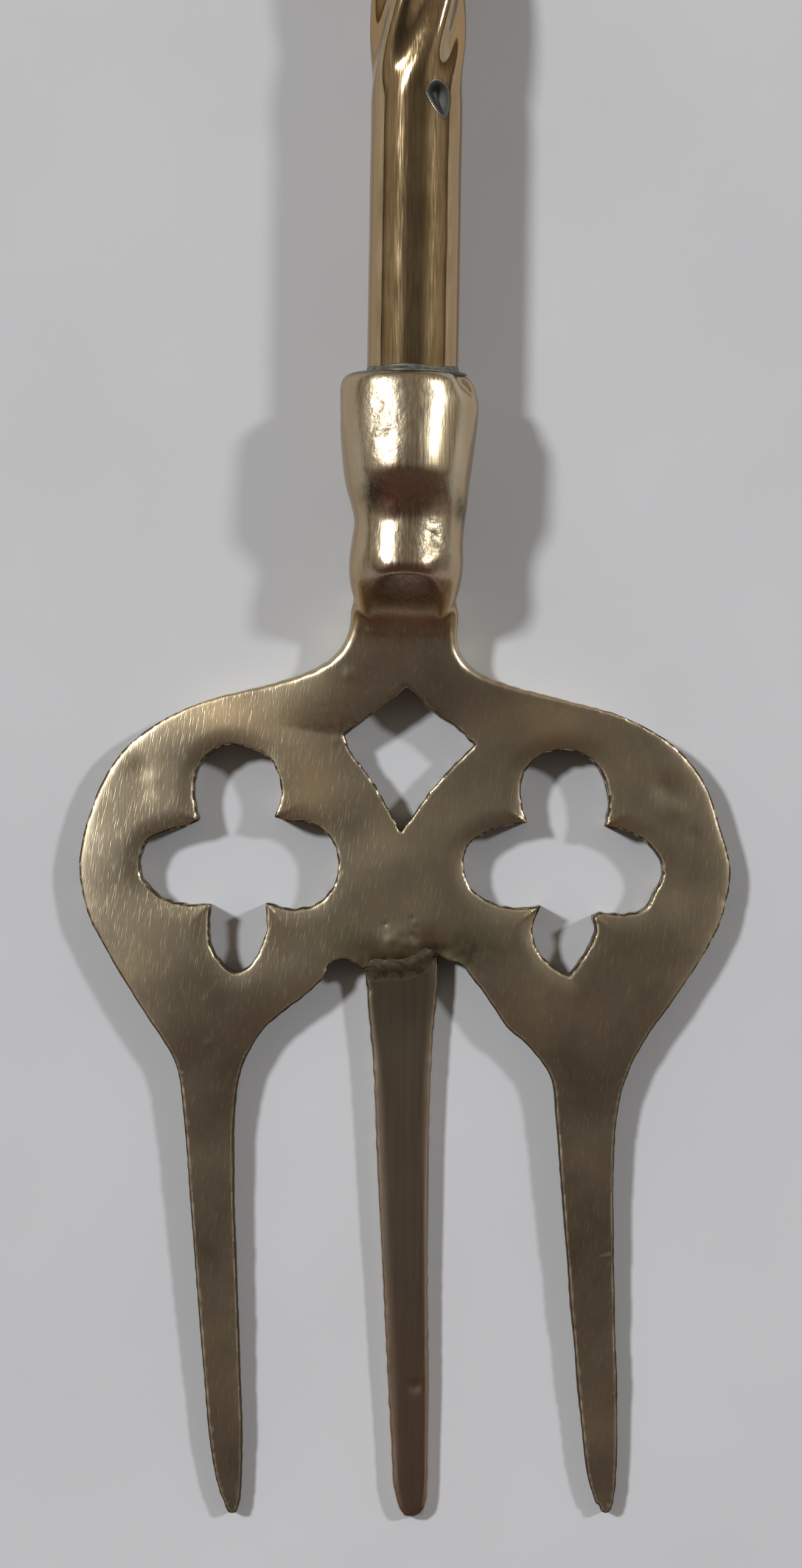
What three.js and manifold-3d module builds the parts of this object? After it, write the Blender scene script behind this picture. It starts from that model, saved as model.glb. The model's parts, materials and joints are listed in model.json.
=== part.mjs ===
// Brass toasting fork: a pierced cast head with two tines and a tube socket, a centre tine let
// into the back of the head, a stem of fluted twisted tube, a handle cap and a hanging ring.
// Millimetres. The fork lies on its flat back: tines towards -Y, handle towards +Y, front face up.
// Heights along the fork are counted from the tine tips until the whole fork is centred at the end.
import * as THREE from 'three';
import { mergeVertices } from 'three/addons/utils/BufferGeometryUtils.js';
import Module from 'manifold-3d';

const wasm = await Module();
wasm.setup();

// Head plate: two round lobes joined to the neck by sloping shoulders
const PLATE_THICKNESS = 3;
const EDGE_BEVEL = 0.7;
const LOBE_SPACING = 35.8;
const LOBE_RADIUS = 16.6;
const LOBES_FROM_TIPS = 69;
const SHOULDER_SLOPE = THREE.MathUtils.degToRad(16.7);
const FLANK_SLOPE = THREE.MathUtils.degToRad(34.8);
const NECK_FILLET = 4.5;

// Side tines; all three tines lean a little to the right on their way to the tips
const TINE_DRIFT = 2.3;
const TINE_SPACING = 19.9;
const TINE_LENGTH = 45;
const TINE_ROOT_WIDTH = 6.2;
const TINE_TIP_WIDTH = 3.3;
const TINE_TIP_ROUND = 1.4;
const TINE_TIP_THICKNESS = 1.7;
const TINE_OUTER_FILLET = 12;
const TINE_INNER_FILLET = 7;

// Crotch between the tines, where the centre tine leaves the plate
const CROTCH_BELOW_LOBES = 11;
const CROTCH_WIDTH = 11.2;
const CROTCH_SLOPE = THREE.MathUtils.degToRad(46);
const CROTCH_FILLET = 1;

// Cross-shaped piercing in each lobe: three round arms and a pointed foot
const CROSS_ARM_RADIUS = 4.6;
const CROSS_ARM_LEAN = THREE.MathUtils.degToRad(20);
const CROSS_SIDE_REACH = 10.6;
const CROSS_TOP_REACH = 12.4;
const CROSS_CUSP = 4.15;
const CROSS_FOOT_REACH = 11.6;
const CROSS_FOOT_WIDTH = 6.6;
const CROSS_FOOT_STRAIGHT = 2.6;

// Kite-shaped piercing under the neck, placed above the line of the lobe centres
const KITE_WIDTH = 13.8;
const KITE_TOP = 18.9;
const KITE_SIDE = 13.3;
const KITE_BOTTOM = 3.8;

// Baluster socket and neck, placed by their distance below the socket mouth
const MOUTH_ABOVE_LOBES = 51.9;
const SOCKET_MOUTH_DIAMETER = 12.6;
const SOCKET_BELLY_DIAMETER = 14.5;
const SOCKET_BELLY_AT = 3;
const SOCKET_TAPER_DIAMETER = 12.9;
const SOCKET_TAPER_AT = 11;
const SOCKET_WAIST_DIAMETER = 11.4;
const SOCKET_WAIST_AT = 15.2;
const SOCKET_BEAD_DIAMETER = 11.9;
const SOCKET_BEAD_AT = 18.6;
const NECK_DIAMETER = 11.8;
const NECK_AT = 21;
const NECK_FOOT_WIDTH = 11.3;
const NECK_FOOT_HEIGHT = 4.2;
const NECK_FOOT_AT = 27;
const NECK_TUCK_WIDTH = 6;
const NECK_RUN_OUT_WIDTH = 15;
const NECK_RUN_OUT_AT = 34.5;

// Stem tube and its joints
const STEM_DIAMETER = 9.5;
const STEM_BORE = 6.2;
const STEM_SEAT_DEPTH = 13;
const STEM_SEAT_GAP = 0.3;
const SOLDER_GAP = 0.25;
const SOLDER_LEG = 1.1;
const SOLDER_TOE = 0.2;
const STEM_PLAIN_LENGTH = 29;
const STEM_TWIST_LENGTH = 274;
const STEM_GRIP_LENGTH = 12;
const FLUTE_COUNT = 6;
const FLUTE_DEPTH = 0.5;
const LAND_SWELL = 0.25;
const FLUTE_RUN_OUT = 7;
const TWIST_LEAD = 80;
const TWIST_START = THREE.MathUtils.degToRad(-2);

// Centre tine with a tang let into a pocket in the back of the plate
const CENTRE_TINE_ROOT_WIDTH = 7.3;
const CENTRE_TINE_TIP_WIDTH = 3.6;
const CENTRE_TINE_ROOT_THICKNESS = 2.6;
const CENTRE_TINE_TIP_THICKNESS = 1.7;
const CENTRE_TINE_CHAMFER = 0.7;
const CENTRE_TINE_POINT_LENGTH = 3;
const CENTRE_TINE_POINT_WIDTH = 2.3;
const TANG_WIDTH = 6;
const TANG_LENGTH = 5.6;
const TANG_THICKNESS = 1.5;
const BRAZE_GAP = 0.5;

// Handle cap, which repeats the socket's upper profile, and its eye
const CAP_DOME_DIAMETER = 11.8;
const CAP_DOME_AT = 19.4;
const CAP_LENGTH = 23.5;
const CAP_CROWN_DIAMETER = 5;
const EYE_HOLE_DIAMETER = 3.8;
const EYE_WALL = 2.3;
const EYE_THICKNESS = 3.4;
const EYE_SINK = 1.2;

// Hanging ring
const RING_DIAMETER = 24;
const RING_WIRE = 2.4;

// Mesh steps and the overshoot of cutting shapes past the faces they cut
const ROUND_STEPS = 32;
const ARC_STEPS = 5;
const PROFILE_STEPS = 20;
const FLUTE_STEPS = 5;
const STEPS_PER_TURN = 22;
const BEVEL_STEPS = 2;
const NECK_FOOT_STEPS = 4;
const WIRE_STEPS = 12;
const RING_STEPS = 40;
const CUT_OVERSHOOT = 1;
const SAME_POINT = 0.001;

// Places worked out from the sizes above
const lobeX = LOBE_SPACING / 2;
const lobeY = LOBES_FROM_TIPS;
const crotchY = lobeY - CROTCH_BELOW_LOBES;
const mouthY = lobeY + MOUTH_ABOVE_LOBES;
const stemStartY = mouthY - STEM_SEAT_DEPTH + STEM_SEAT_GAP;
const capMouthY = mouthY + STEM_PLAIN_LENGTH + STEM_TWIST_LENGTH + STEM_GRIP_LENGTH;
const stemEndY = capMouthY + STEM_SEAT_DEPTH - STEM_SEAT_GAP;
const stemAxisZ = SOCKET_BELLY_DIAMETER / 2;
const stemRadius = STEM_DIAMETER / 2;
const seatRadius = stemRadius + SOLDER_GAP;
const eyeRadius = EYE_HOLE_DIAMETER / 2 + EYE_WALL;
const eyeY = capMouthY + CAP_LENGTH + eyeRadius - EYE_SINK;
const ringDroop = Math.asin((stemAxisZ - RING_WIRE / 2) / RING_DIAMETER);
const ringEndY = eyeY + RING_DIAMETER * Math.cos(ringDroop) + RING_WIRE / 2;

// A closed geometry as a solid that can be joined and cut
function solid(geometry) {
  const bare = geometry.clone();
  bare.deleteAttribute('normal');
  bare.deleteAttribute('uv');
  const merged = mergeVertices(bare);
  const vertProperties = new Float32Array(merged.attributes.position.array);
  const triVerts = new Uint32Array(merged.index.array);
  return new wasm.Manifold(new wasm.Mesh({ numProp: 3, vertProperties, triVerts }));
}

// A joined and cut solid as a geometry again
function geometryOf(body) {
  const mesh = body.getMesh();
  const geometry = new THREE.BufferGeometry();
  geometry.setAttribute('position', new THREE.BufferAttribute(mesh.vertProperties, 3));
  geometry.setIndex(new THREE.BufferAttribute(mesh.triVerts, 1));
  return geometry;
}

// A skin over rings of points that follow one another up the fork, with flat ends
function skin(rings) {
  const count = rings[0].length;
  const end = (rings.length - 1) * count;
  const index = [];
  for (let near = 0; near < end; near += count) {
    const far = near + count;
    for (let j = 0; j < count; j += 1) {
      const k = (j + 1) % count;
      index.push(near + j, far + k, far + j, near + j, near + k, far + k);
    }
  }
  for (let j = 1; j < count - 1; j += 1) {
    index.push(0, j + 1, j, end, end + j, end + j + 1);
  }
  const geometry = new THREE.BufferGeometry().setFromPoints(rings.flat());
  geometry.setIndex(index);
  return geometry;
}

// An ellipse across the fork at height y, as one ring of a skin
function ellipseRing(y, halfWidth, halfHeight, z) {
  return Array.from({ length: ROUND_STEPS }, (_, j) => {
    const angle = (2 * Math.PI * j) / ROUND_STEPS;
    return new THREE.Vector3(halfWidth * Math.sin(angle), y, z + halfHeight * Math.cos(angle));
  });
}

// A straight-sided block from its low corner to its high corner
function block(low, high) {
  const size = high.clone().sub(low);
  const centre = low.clone().add(high).multiplyScalar(0.5);
  return new THREE.BoxGeometry(size.x, size.y, size.z).translate(centre.x, centre.y, centre.z);
}

// A cylinder along the stem axis between two heights
function stemCylinder(radius, fromY, toY) {
  return new THREE.CylinderGeometry(radius, radius, toY - fromY, ROUND_STEPS)
    .translate(0, (fromY + toY) / 2, stemAxisZ);
}

// The point where two lines meet, each given by a point and a direction
function meet(p, u, q, v) {
  const across = u.x * v.y - u.y * v.x;
  const along = ((q.x - p.x) * v.y - (q.y - p.y) * v.x) / across;
  return new THREE.Vector2(p.x + along * u.x, p.y + along * u.y);
}

// A closed outline through corners, each rounded by its own radius
function roundedOutline(corners) {
  const path = new THREE.Shape();
  corners.forEach(({ at, radius }, i) => {
    const before = corners[(i + corners.length - 1) % corners.length].at;
    const after = corners[(i + 1) % corners.length].at;
    const inward = before.clone().sub(at).normalize();
    const outward = after.clone().sub(at).normalize();
    const half = Math.acos(THREE.MathUtils.clamp(inward.dot(outward), -1, 1)) / 2;
    const reach = radius / Math.tan(half);
    const start = at.clone().addScaledVector(inward, reach);
    const end = at.clone().addScaledVector(outward, reach);
    if (i === 0) {
      path.moveTo(start.x, start.y);
    } else {
      path.lineTo(start.x, start.y);
    }
    if (radius > 0) {
      const toCentre = inward.clone().add(outward).normalize();
      const centre = at.clone().addScaledVector(toCentre, radius / Math.sin(half));
      const from = Math.atan2(start.y - centre.y, start.x - centre.x);
      const to = Math.atan2(end.y - centre.y, end.x - centre.x);
      const turnsLeft = inward.x * outward.y - inward.y * outward.x < 0;
      path.absarc(centre.x, centre.y, radius, from, to, !turnsLeft);
    }
  });
  path.closePath();
  return path;
}

function corner(x, y, radius) {
  return { at: new THREE.Vector2(x, y), radius };
}

// Points along a closed path, each only once
function pointsOnce(path) {
  const points = path.getPoints(ARC_STEPS);
  return points.filter((p, i) => p.distanceTo(points[(i + 1) % points.length]) > SAME_POINT);
}

// Half of the plate's outline from the neck down to the crotch, its tine tip moved outward by drift
function halfOutline(drift) {
  const side = lobeX + LOBE_RADIUS;
  const neckX = NECK_FOOT_WIDTH / 2;
  const shoulderY = lobeY + LOBE_RADIUS * Math.tan(Math.PI / 4 - SHOULDER_SLOPE / 2);
  const flankY = lobeY - LOBE_RADIUS * Math.tan(FLANK_SLOPE / 2);
  const neckFootY = shoulderY + (side - neckX) * Math.tan(SHOULDER_SLOPE);
  const outerTip = new THREE.Vector2(TINE_SPACING + drift + TINE_TIP_WIDTH / 2, 0);
  const outerRoot = new THREE.Vector2(TINE_SPACING + TINE_ROOT_WIDTH / 2, TINE_LENGTH);
  const innerTip = new THREE.Vector2(TINE_SPACING + drift - TINE_TIP_WIDTH / 2, 0);
  const innerRoot = new THREE.Vector2(TINE_SPACING - TINE_ROOT_WIDTH / 2, TINE_LENGTH);
  const flank = new THREE.Vector2(side, flankY);
  const flankRun = new THREE.Vector2(-Math.sin(FLANK_SLOPE), -Math.cos(FLANK_SLOPE));
  const crotch = new THREE.Vector2(CROTCH_WIDTH / 2, crotchY);
  const crotchRun = new THREE.Vector2(Math.cos(CROTCH_SLOPE), -Math.sin(CROTCH_SLOPE));
  const outerFoot = meet(flank, flankRun, outerTip, outerRoot.clone().sub(outerTip));
  const innerFoot = meet(crotch, crotchRun, innerTip, innerRoot.clone().sub(innerTip));
  return [
    corner(NECK_TUCK_WIDTH / 2, mouthY - NECK_AT, 0),
    corner(neckX, mouthY - NECK_FOOT_AT, 0),
    corner(neckX, neckFootY, NECK_FILLET),
    corner(side, shoulderY, LOBE_RADIUS),
    corner(side, flankY, LOBE_RADIUS),
    corner(outerFoot.x, outerFoot.y, TINE_OUTER_FILLET),
    corner(outerTip.x, outerTip.y, TINE_TIP_ROUND),
    corner(innerTip.x, innerTip.y, TINE_TIP_ROUND),
    corner(innerFoot.x, innerFoot.y, TINE_INNER_FILLET),
    corner(crotch.x, crotch.y, CROTCH_FILLET),
  ];
}

// Cross piercing around a lobe centre
function crossPiercing(x, y) {
  const path = new THREE.Shape();
  const lean = CROSS_ARM_LEAN;
  const sideCentre = CROSS_SIDE_REACH - CROSS_ARM_RADIUS;
  const topCentre = CROSS_TOP_REACH - CROSS_ARM_RADIUS;
  const footX = CROSS_FOOT_WIDTH / 2;
  const footStart = CROSS_CUSP + CROSS_FOOT_STRAIGHT;
  path.moveTo(x + CROSS_CUSP, y + CROSS_CUSP);
  path.absarc(x, y + topCentre, CROSS_ARM_RADIUS, -lean, Math.PI + lean, false);
  path.lineTo(x - CROSS_CUSP, y + CROSS_CUSP);
  path.absarc(x - sideCentre, y, CROSS_ARM_RADIUS, Math.PI / 2 - lean, 1.5 * Math.PI + lean, false);
  path.lineTo(x - footX, y - CROSS_CUSP);
  path.lineTo(x - footX, y - footStart);
  path.quadraticCurveTo(x - footX, y - (footStart + CROSS_FOOT_REACH) / 2, x, y - CROSS_FOOT_REACH);
  path.quadraticCurveTo(x + footX, y - (footStart + CROSS_FOOT_REACH) / 2, x + footX, y - footStart);
  path.lineTo(x + footX, y - CROSS_CUSP);
  path.absarc(x + sideCentre, y, CROSS_ARM_RADIUS, -Math.PI / 2 - lean, Math.PI / 2 + lean, false);
  path.closePath();
  return path;
}

// Plate with both side tines, edges bevelled front and back
function plateGeometry() {
  const right = halfOutline(TINE_DRIFT);
  const left = halfOutline(-TINE_DRIFT).map(({ at, radius }) => corner(-at.x, at.y, radius)).reverse();
  const outline = new THREE.Shape(pointsOnce(roundedOutline([...right, ...left])));
  const plate = new THREE.ExtrudeGeometry(outline, {
    depth: PLATE_THICKNESS - 2 * EDGE_BEVEL,
    bevelThickness: EDGE_BEVEL,
    bevelSize: EDGE_BEVEL,
    bevelOffset: -EDGE_BEVEL,
    bevelSegments: BEVEL_STEPS,
  });
  return plate.translate(0, 0, EDGE_BEVEL);
}

// The side tines thin evenly from their roots to their tips
function thinTines(plate) {
  const upper = geometryOf(plate.trimByPlane([0, 1, 0], TINE_LENGTH));
  const tines = geometryOf(plate.trimByPlane([0, -1, 0], -TINE_LENGTH));
  const place = tines.attributes.position;
  for (let i = 0; i < place.count; i += 1) {
    const share = 1 - place.getY(i) / TINE_LENGTH;
    const loss = share * (1 - TINE_TIP_THICKNESS / PLATE_THICKNESS);
    place.setZ(i, place.getZ(i) * (1 - loss));
  }
  return solid(upper).add(solid(tines));
}

// Baluster profile: distance from the mouth against radius, past the waist to a bead and an end
function balusterProfile(beadAt, beadDiameter, endAt, endDiameter) {
  const curve = new THREE.SplineCurve([
    new THREE.Vector2(0, SOCKET_MOUTH_DIAMETER / 2),
    new THREE.Vector2(SOCKET_BELLY_AT, SOCKET_BELLY_DIAMETER / 2),
    new THREE.Vector2(SOCKET_TAPER_AT, SOCKET_TAPER_DIAMETER / 2),
    new THREE.Vector2(SOCKET_WAIST_AT, SOCKET_WAIST_DIAMETER / 2),
    new THREE.Vector2(beadAt, beadDiameter / 2),
    new THREE.Vector2(endAt, endDiameter / 2),
  ]);
  const points = curve.getPoints(PROFILE_STEPS);
  return points.map((p) => new THREE.Vector2(p.x, Math.min(p.y, SOCKET_BELLY_DIAMETER / 2)));
}

// Socket and neck: round sections that sink to the plate's back, then a steep foot and a run-out
function socketGeometry() {
  const profile = balusterProfile(SOCKET_BEAD_AT, SOCKET_BEAD_DIAMETER, NECK_AT, NECK_DIAMETER);
  const round = profile.map((p) => {
    const sink = THREE.MathUtils.smoothstep(p.x, SOCKET_WAIST_AT, NECK_AT);
    const z = THREE.MathUtils.lerp(stemAxisZ, NECK_DIAMETER / 2, sink);
    return ellipseRing(mouthY - p.x, p.y, p.y, Math.max(z, p.y));
  });
  const flat = Array.from({ length: NECK_FOOT_STEPS }, (_, i) => {
    const share = (i + 1) / NECK_FOOT_STEPS;
    const y = mouthY - THREE.MathUtils.lerp(NECK_AT, NECK_FOOT_AT, share);
    const ease = THREE.MathUtils.smoothstep(share, 0, 1);
    const halfWidth = THREE.MathUtils.lerp(NECK_DIAMETER, NECK_FOOT_WIDTH, share) / 2;
    const height = THREE.MathUtils.lerp(NECK_DIAMETER, NECK_FOOT_HEIGHT, ease);
    return ellipseRing(y, halfWidth, height / 2, height / 2);
  });
  const halfPlate = PLATE_THICKNESS / 2;
  const runOut = ellipseRing(mouthY - NECK_RUN_OUT_AT, NECK_RUN_OUT_WIDTH / 2, halfPlate, halfPlate);
  return skin([...round, ...flat, runOut].reverse());
}

function kitePiercing() {
  return new THREE.Shape([
    new THREE.Vector2(0, lobeY + KITE_TOP),
    new THREE.Vector2(-KITE_WIDTH / 2, lobeY + KITE_SIDE),
    new THREE.Vector2(0, lobeY + KITE_BOTTOM),
    new THREE.Vector2(KITE_WIDTH / 2, lobeY + KITE_SIDE),
  ]);
}

// A cutter of the given outline that reaches through the plate and the foot of the neck
function throughCut(outline) {
  const depth = SOCKET_BELLY_DIAMETER + 2 * CUT_OVERSHOOT;
  const shape = new THREE.Shape(pointsOnce(outline));
  const cutter = new THREE.ExtrudeGeometry(shape, { depth, bevelEnabled: false });
  return solid(cutter.translate(0, 0, -CUT_OVERSHOOT));
}

// Pocket in the back of the plate: the tang's seat with room for the braze around it
function tangPocket() {
  const halfWidth = TANG_WIDTH / 2 + BRAZE_GAP;
  const low = new THREE.Vector3(-halfWidth, crotchY - CUT_OVERSHOOT, -CUT_OVERSHOOT);
  const high = new THREE.Vector3(halfWidth, crotchY + TANG_LENGTH + BRAZE_GAP, TANG_THICKNESS);
  return block(low, high);
}

function forkHead() {
  const plate = thinTines(solid(plateGeometry()));
  const bore = stemCylinder(seatRadius, mouthY - STEM_SEAT_DEPTH, mouthY + CUT_OVERSHOOT);
  const cuts = [
    throughCut(crossPiercing(lobeX, lobeY)),
    throughCut(crossPiercing(-lobeX, lobeY)),
    throughCut(kitePiercing()),
    solid(bore),
    solid(tangPocket()),
  ];
  return geometryOf(cuts.reduce((cast, cut) => cast.subtract(cut), plate.add(solid(socketGeometry()))));
}

// Eight-sided ring of the chamfered centre tine
function tineRing(y, width) {
  const share = y / crotchY;
  const thickness = THREE.MathUtils.lerp(CENTRE_TINE_TIP_THICKNESS, CENTRE_TINE_ROOT_THICKNESS, share);
  const middle = TINE_DRIFT * (1 - share);
  const x = width / 2;
  const c = CENTRE_TINE_CHAMFER;
  const outline = [
    [-x + c, thickness], [x - c, thickness], [x, thickness - c], [x, c],
    [x - c, 0], [-x + c, 0], [-x, c], [-x, thickness - c],
  ];
  return outline.map(([px, pz]) => new THREE.Vector3(middle + px, y, pz));
}

function centreTine() {
  const blade = skin([
    tineRing(0, CENTRE_TINE_POINT_WIDTH),
    tineRing(CENTRE_TINE_POINT_LENGTH, CENTRE_TINE_TIP_WIDTH),
    tineRing(crotchY, CENTRE_TINE_ROOT_WIDTH),
  ]);
  const tangLow = new THREE.Vector3(-TANG_WIDTH / 2, crotchY - CUT_OVERSHOOT, 0);
  const tangHigh = new THREE.Vector3(TANG_WIDTH / 2, crotchY + TANG_LENGTH, TANG_THICKNESS);
  return geometryOf(solid(blade).add(solid(block(tangLow, tangHigh))));
}

// Braze that fills the pocket on both sides and at the end of the tang
function tineBraze() {
  const inner = TANG_WIDTH / 2;
  const outer = inner + BRAZE_GAP;
  const end = crotchY + TANG_LENGTH;
  const channel = new THREE.Shape([
    new THREE.Vector2(-outer, crotchY),
    new THREE.Vector2(-inner, crotchY),
    new THREE.Vector2(-inner, end),
    new THREE.Vector2(inner, end),
    new THREE.Vector2(inner, crotchY),
    new THREE.Vector2(outer, crotchY),
    new THREE.Vector2(outer, end + BRAZE_GAP),
    new THREE.Vector2(-outer, end + BRAZE_GAP),
  ]);
  return new THREE.ExtrudeGeometry(channel, { depth: TANG_THICKNESS, bevelEnabled: false });
}

// One ring of the stem's outside: flutes that fade in and out and turn with height
function stemRing(y) {
  const twistStart = mouthY + STEM_PLAIN_LENGTH;
  const twistEnd = twistStart + STEM_TWIST_LENGTH;
  const fadeIn = THREE.MathUtils.smoothstep(y, twistStart, twistStart + FLUTE_RUN_OUT);
  const fadeOut = 1 - THREE.MathUtils.smoothstep(y, twistEnd - FLUTE_RUN_OUT, twistEnd);
  const turn = TWIST_START + (2 * Math.PI * (y - twistStart)) / TWIST_LEAD;
  const count = FLUTE_COUNT * FLUTE_STEPS;
  return Array.from({ length: count }, (_, j) => {
    const angle = (2 * Math.PI * j) / count;
    const wave = 0.5 + 0.5 * Math.cos(FLUTE_COUNT * angle);
    const change = LAND_SWELL * wave - FLUTE_DEPTH * (1 - wave);
    const radius = stemRadius + fadeIn * fadeOut * change;
    const place = angle + turn;
    return new THREE.Vector3(radius * Math.sin(place), y, stemAxisZ + radius * Math.cos(place));
  });
}

function stemTube() {
  const twistStart = mouthY + STEM_PLAIN_LENGTH;
  const steps = Math.ceil((STEM_TWIST_LENGTH / TWIST_LEAD) * STEPS_PER_TURN);
  const rings = [];
  for (let i = 0; i <= steps; i += 1) {
    rings.push(stemRing(twistStart + (STEM_TWIST_LENGTH * i) / steps));
  }
  const startRing = rings[0].map((p) => new THREE.Vector3(p.x, stemStartY, p.z));
  const endRing = rings[steps].map((p) => new THREE.Vector3(p.x, stemEndY, p.z));
  const outside = [startRing, ...rings, endRing];
  const bore = stemCylinder(STEM_BORE / 2, stemStartY - CUT_OVERSHOOT, stemEndY + CUT_OVERSHOOT);
  return geometryOf(solid(skin(outside)).subtract(solid(bore)));
}

// Solder fillet on a socket mouth, facing along the stem in the given direction
function solderFillet(mouth, direction) {
  const profile = [
    new THREE.Vector2(seatRadius, mouth),
    new THREE.Vector2(seatRadius + SOLDER_LEG, mouth),
    new THREE.Vector2(seatRadius + SOLDER_TOE, mouth + direction * SOLDER_LEG),
    new THREE.Vector2(seatRadius, mouth + direction * SOLDER_LEG),
    new THREE.Vector2(seatRadius, mouth),
  ];
  const points = direction > 0 ? profile : profile.reverse();
  return new THREE.LatheGeometry(points, ROUND_STEPS).translate(0, 0, stemAxisZ);
}

// A cylinder across the fork on the axis of the cap's eye
function eyeCylinder(radius, length) {
  return new THREE.CylinderGeometry(radius, radius, length, ROUND_STEPS)
    .rotateZ(Math.PI / 2)
    .translate(0, eyeY, stemAxisZ);
}

// Handle cap: the socket's upper profile turned about, a domed crown and an eye across it
function handleCap() {
  const wall = balusterProfile(CAP_DOME_AT, CAP_DOME_DIAMETER, CAP_LENGTH, CAP_CROWN_DIAMETER)
    .map((p) => new THREE.Vector2(p.y, capMouthY + p.x));
  const profile = [new THREE.Vector2(0, capMouthY), ...wall, new THREE.Vector2(0, capMouthY + CAP_LENGTH)];
  const body = new THREE.LatheGeometry(profile, ROUND_STEPS).translate(0, 0, stemAxisZ);
  const eye = eyeCylinder(eyeRadius, EYE_THICKNESS);
  const hole = eyeCylinder(EYE_HOLE_DIAMETER / 2, EYE_THICKNESS + 2 * CUT_OVERSHOOT);
  const bore = stemCylinder(seatRadius, capMouthY - CUT_OVERSHOOT, capMouthY + STEM_SEAT_DEPTH);
  return geometryOf(solid(body).add(solid(eye)).subtract(solid(hole)).subtract(solid(bore)));
}

function piece(name, geometry, color, roughness) {
  const material = new THREE.MeshStandardMaterial({ color, roughness, metalness: 1 });
  const mesh = new THREE.Mesh(geometry, material);
  mesh.name = name;
  return mesh;
}

const fork = new THREE.Group();
fork.add(
  piece('fork_head', forkHead(), 0xa8935f, 0.38),
  piece('centre_tine', centreTine(), 0x8a6f4a, 0.45),
  piece('tine_braze', tineBraze(), 0x6f6650, 0.6),
  piece('stem_tube', stemTube(), 0x9a8550, 0.3),
  piece('socket_solder', solderFillet(mouthY, 1), 0x7c7f6e, 0.6),
  piece('handle_cap', handleCap(), 0xa8935f, 0.32),
  piece('cap_solder', solderFillet(capMouthY, -1), 0x7c7f6e, 0.6),
);

// The ring hangs in the eye and droops until its far side meets the surface the fork lies on
const ringPivot = new THREE.Group();
ringPivot.position.set(0, eyeY, stemAxisZ);
ringPivot.rotation.x = -ringDroop;
const ring = piece(
  'hanging_ring',
  new THREE.TorusGeometry(RING_DIAMETER / 2, RING_WIRE / 2, WIRE_STEPS, RING_STEPS),
  0x9a8550,
  0.3,
);
ring.position.y = RING_DIAMETER / 2;
ringPivot.add(ring);
fork.add(ringPivot);
fork.position.y = -ringEndY / 2;

const model = new THREE.Group();
model.add(fork);

export default model;
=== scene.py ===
# %% [markdown]
# # A brass toasting fork, dressed around its CAD frame
#
# The real fork is a pierced brass casting with two tines, a third tine brazed into its back, a
# stem of twisted tube, and a cap with a ring to hang it by. It lies on its back on a pale table.
# The CAD model holds every piece at its real size and place. This lesson makes what the eye
# meets: soft cast edges, file marks, solder, tarnish and light.

import json
import math

import bpy
import numpy as np
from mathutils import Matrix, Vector


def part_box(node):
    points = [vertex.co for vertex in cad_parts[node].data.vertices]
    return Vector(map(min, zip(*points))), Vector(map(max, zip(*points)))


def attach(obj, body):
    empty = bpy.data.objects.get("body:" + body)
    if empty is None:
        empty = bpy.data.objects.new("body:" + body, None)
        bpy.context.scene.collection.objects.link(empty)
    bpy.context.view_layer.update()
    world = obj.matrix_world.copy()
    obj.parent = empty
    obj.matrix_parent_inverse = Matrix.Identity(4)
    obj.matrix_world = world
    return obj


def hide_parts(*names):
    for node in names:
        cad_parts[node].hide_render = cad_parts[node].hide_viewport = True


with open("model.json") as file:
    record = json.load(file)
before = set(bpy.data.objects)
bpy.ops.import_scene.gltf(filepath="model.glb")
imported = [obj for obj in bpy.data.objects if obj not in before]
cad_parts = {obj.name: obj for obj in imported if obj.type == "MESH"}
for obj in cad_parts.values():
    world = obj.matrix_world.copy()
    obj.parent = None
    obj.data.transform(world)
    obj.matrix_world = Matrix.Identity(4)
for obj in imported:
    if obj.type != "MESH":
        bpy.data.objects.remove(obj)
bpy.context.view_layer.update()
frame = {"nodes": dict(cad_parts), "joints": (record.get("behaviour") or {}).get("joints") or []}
MM = 0.001
print("CAD nodes:", ", ".join(sorted(frame["nodes"])))

# %% [markdown]
# ## Measures from the frame
#
# Shapes are worked out in millimetres, because a fork is a small thing, and turned into metres
# when a mesh is made. The places that matter most, such as the socket's mouth or the axis of the
# stem, are read from the CAD nodes, so the surface can't drift away from the part below it.

# %% Measures
def node_box(node):
    """Lowest and highest corner of a CAD node, in millimetres."""
    low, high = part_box(node)
    return np.array(low) / MM, np.array(high) / MM


head_low, head_high = node_box("fork_head")
stem_low, stem_high = node_box("stem_tube")
cap_low, cap_high = node_box("handle_cap")
tine_low, tine_high = node_box("centre_tine")
TIPS_Y = head_low[1]
MOUTH_Y = head_high[1]
CAP_MOUTH_Y = cap_low[1]
EYE_Y = frame["joints"][0]["pos_m"][1] / MM
AXIS_Z = frame["joints"][0]["pos_m"][2] / MM
PLATE_TOP = 3.0
print(f"tips {TIPS_Y:.1f}, socket mouth {MOUTH_Y:.1f}, cap mouth {CAP_MOUTH_Y:.1f} mm")
print(f"stem's axis {AXIS_Z:.2f} mm above the table")

# %% [markdown]
# ## The camera
#
# The photograph looks straight down on the head from about 39 cm: the rim of the socket sags by
# what that distance gives. The fork lies about a degree askew in the picture, so the camera is
# rolled by that degree and the fork stays square in its own frame. With the camera settled, any
# pixel can be turned into a place on the fork, which is how the outlines below were found.

# %% Camera
PHOTO_WIDTH = 1318
PHOTO_HEIGHT = 2576
PLATE_PIXEL = 0.0645
CAMERA_HEIGHT = 393.0
CAMERA_ROLL = math.radians(0.9)
AIM_X = -0.54
AIM_Y = TIPS_Y + 78.0
SENSOR = 36.0

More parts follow.
